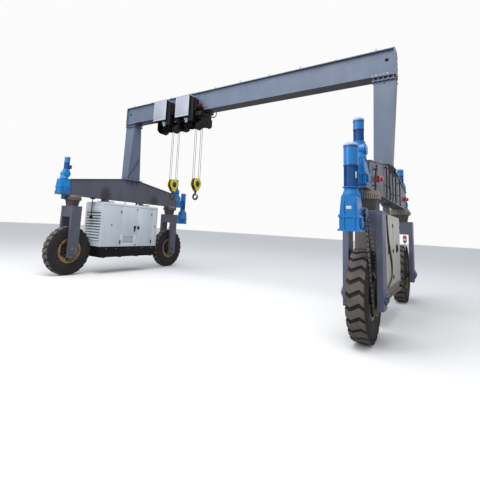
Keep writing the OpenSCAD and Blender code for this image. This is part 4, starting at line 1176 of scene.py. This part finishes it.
def hoist_drive_details(i):
    """Rope windings on the drum, motor ribs, bolts and the cap of the travel motor."""
    x = HOOK_X[i]
    body = "hoist_" + i
    turns, steps_a_turn = 14, 14
    steps = turns * steps_a_turn
    first, last, radius = x - 0.055, x + 0.235, 0.1365
    windings = []
    for k in range(steps + 1):
        angle = 2 * pi * k / steps_a_turn
        along = first + (last - first) * k / steps
        windings.append((along, radius * cos(angle), DRUM_Z + radius * sin(angle)))
    settle("drum_rope_" + i, body, ROPE, tube(windings, 0.0062), angle=60)
    rib = [(0.116, 0.0), (0.126, 0.001), (0.126, 0.006), (0.116, 0.007)]
    ribs = [ring((x - 0.300 + 0.022 * k, 0, DRUM_Z), X_AXIS, rib, 40) for k in range(7)]
    settle("motor_ribs_" + i, body, BLACK, *ribs)
    places = []
    for bolt_x in (-0.545, -0.45, -0.15, 0.0, 0.12, 0.235):
        sides = (-1, 1) if bolt_x > 0.11 else (1,)
        places += [((x + bolt_x, side * 0.212, z), (0, side, 0)) for z in (4.735, 4.900) for side in sides]
    places += [((x + roller_x, 0.2125, 5.0403), Y_AXIS) for roller_x in (-0.445, 0.145)]
    bolts("hoist_bolts_" + i, body, 0.012, places)
    cap = [(0.0, -0.018), (0.030, -0.016), (0.047, -0.004), (0.049, 0.010), (0.044, 0.012), (0.0, 0.012)]
    settle("travel_motor_cap_" + i, body, CABLE, lathe((x - 0.285, -0.2673, 4.615), Z_AXIS, cap, 32))


def right_hoist_details():
    """Limit switch with its red cap, and the cable saddle on the tow arm."""
    x = HOOK_X["2"]
    red = soft_disc((x + 0.308, -0.275, 5.042), X_AXIS, 0.036, 0.030, 0.008, 24)
    settle("limit_red", "hoist_2", RED, red)
    settle("tow_arm_gear", "hoist_2", BLACK,
           soft_box((x + 0.075, -0.330, 4.760), (x + 0.300, -0.2165, 4.900), 0.008),
           soft_disc((x + 0.430, -0.2330, 4.745), X_AXIS, 0.028, 0.24, 0.006, 20),
           soft_disc((x + 0.215, -0.290, 5.045), X_AXIS, 0.068, 0.160, 0.014, 32),
           soft_box((x + 0.150, -0.290, 4.960), (x + 0.280, -0.2165, 5.080), 0.006))
    loops = []
    angles = [2 * pi * n / 24 for n in range(24)]
    for k in range(3):
        radius = 0.1045 + 0.003 * k
        y = -0.2345 + 0.0085 * k
        points = [(x + 0.665 + radius * cos(a), y, 4.755 + radius * sin(a) * 1.02) for a in angles]
        loops.append(tube(points, 0.0040, "NURBS", True))
    settle("saddle_bands", "hoist_2", CABLE, *loops, angle=60)


def rope_falls(i):
    """Four falls of laid rope, from the hook block up to the drum."""
    x = HOOK_X[i]
    lay, steps, steps_a_turn = 0.0032, 240, 10
    strands = []
    for fall_x in (-0.031, 0.031):
        for fall_y in (-0.1368, 0.1368):
            for start in (0, pi / 2, pi, 3 * pi / 2):
                points = []
                for t in range(steps + 1):
                    angle = start + 2 * pi * t / steps_a_turn
                    points.append((x + fall_x + lay * cos(angle), fall_y + lay * sin(angle),
                                   ROPE_LOW + (DRUM_Z - ROPE_LOW) * t / steps))
                strands.append(tube(points, 0.0034, sides=1))
    falls = settle("rope_falls_" + i, None, ROPE, *strands, angle=60)
    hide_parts("ropes_" + i)
    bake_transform(falls)


def block_details(i, yellow):
    """Pin caps, cover bolts, rounded cheek rims and the hook's latch."""
    x = HOOK_X[i]
    body = "hook_" + i
    places = [((x + side * 0.069, end * y, z), (side, 0, 0)) for side in (-1, 1)
              for y, z in ((0.055, 2.915), (0.120, 2.835), (0.055, 2.665)) for end in (-1, 1)]
    bolts("block_bolts_" + i, body, 0.009, places)
    outline = [(-0.070, 2.633), (0.070, 2.633), (0.157, 2.741), (0.157, 2.849), (0.090, 2.947),
               (-0.090, 2.947), (-0.157, 2.849), (-0.157, 2.741)]
    cheek_x, cap_x = 0.062, 0.069
    rims, caps = [], []
    for side in (-1, 1):
        rims.append(tube([(x + side * cheek_x, y, z) for y, z in outline], 0.0085, "POLY", True, 3))
        cap = [(0.0, side * 0.022), (0.030, side * 0.021), (0.036, side * 0.013), (0.078, side * 0.010),
               (0.088, side * 0.004), (0.088, 0.0), (0.0, 0.0)]
        caps.append(lathe((x + side * cap_x, 0, 2.790), X_AXIS, cap, 40))
    settle("cheek_rims_" + i, body, yellow, *rims, angle=60)
    settle("pin_caps_" + i, body, HOOK, *caps)
    settle("hook_latch_" + i, body, BOLT,
           soft_box((x + 0.010, -0.009, 2.445), (x + 0.070, 0.009, 2.452), 0.002),
           soft_disc((x + 0.008, 0, 2.455), Y_AXIS, 0.012, 0.044, 0.002, 16))
    nut = soft_disc((x, 0, 2.552), Z_AXIS, 0.047, 0.020, 0.004, 6)
    settle("swivel_nut_" + i, body, HOOK, nut)


def build_pieces():
    for corner in CORNERS:
        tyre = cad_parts["tyre_" + corner].data.materials[0]
        sidewall_rings(corner, tyre)
        shoulder_bars(corner, tyre)
        hub_details(corner)
        fork_details(corner)
        steering_details(corner)
    for corner in DRIVEN:
        travel_details(corner)
        chain_links(corner)
    for side in (-1, 1):
        beam_details(side)
    girder_details()
    generator_details()
    cabinet_details()
    cable_clips()
    stop_details()
    lamp_and_sensor()
    for i in "12":
        hoist_box_details(i)
        hoist_drive_details(i)
        rope_falls(i)
        block_details(i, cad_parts["hook_block_" + i].data.materials[0])
    right_hoist_details()


build_pieces()


# Floor, background and lamps

def floor():
    """A pale floor, which throws less light upwards than the camera sees."""
    choose()
    bpy.ops.mesh.primitive_plane_add(size=160, location=(0, 0, -0.002))
    plane = bpy.context.object
    plane.name = "floor"
    material, shader, _ = start_material("floor_pale", 0.9)
    path = material.node_tree.nodes.new("ShaderNodeLightPath")
    shade = mixed(path.outputs["Is Camera Ray"], (0.42, 0.41, 0.40), (0.80, 0.79, 0.78))
    link(shade, shader.inputs["Base Color"])
    plane.data.materials.append(material)


def background():
    """White where it is seen or mirrored, and a soft cool light elsewhere."""
    world = bpy.data.worlds.new("studio")
    bpy.context.scene.world = world
    world.use_nodes = True
    tree = world.node_tree
    tree.nodes.clear()
    path = tree.nodes.new("ShaderNodeLightPath")
    seen = plus(path.outputs["Is Camera Ray"], path.outputs["Is Glossy Ray"], True)
    seen = plus(seen, path.outputs["Is Transmission Ray"], True)
    shade = mixed(seen, (0.62, 0.66, 0.72), (0.97, 0.97, 0.97))
    back = node_of(tree, "ShaderNodeBackground", Color=shade)
    node_of(tree, "ShaderNodeOutputWorld", Surface=back.outputs[0])


def lamp(name, place, aim, size, power):
    data = bpy.data.lights.new(name, "AREA")
    data.size = size
    data.energy = power
    holder = bpy.data.objects.new(name, data)
    bpy.context.collection.objects.link(holder)
    holder.location = place
    holder.rotation_euler = (Vector(aim) - Vector(place)).to_track_quat("-Z", "Y").to_euler()


floor()
background()
lamp("roof_light", (2.0, -6.0, 13.0), (0, 0, 1.5), 9.0, 1500)
lamp("front_light", (-5.0, -13.0, 7.0), (0, 0, 2.5), 6.0, 700)
bpy.context.scene.view_settings.view_transform = "Standard"
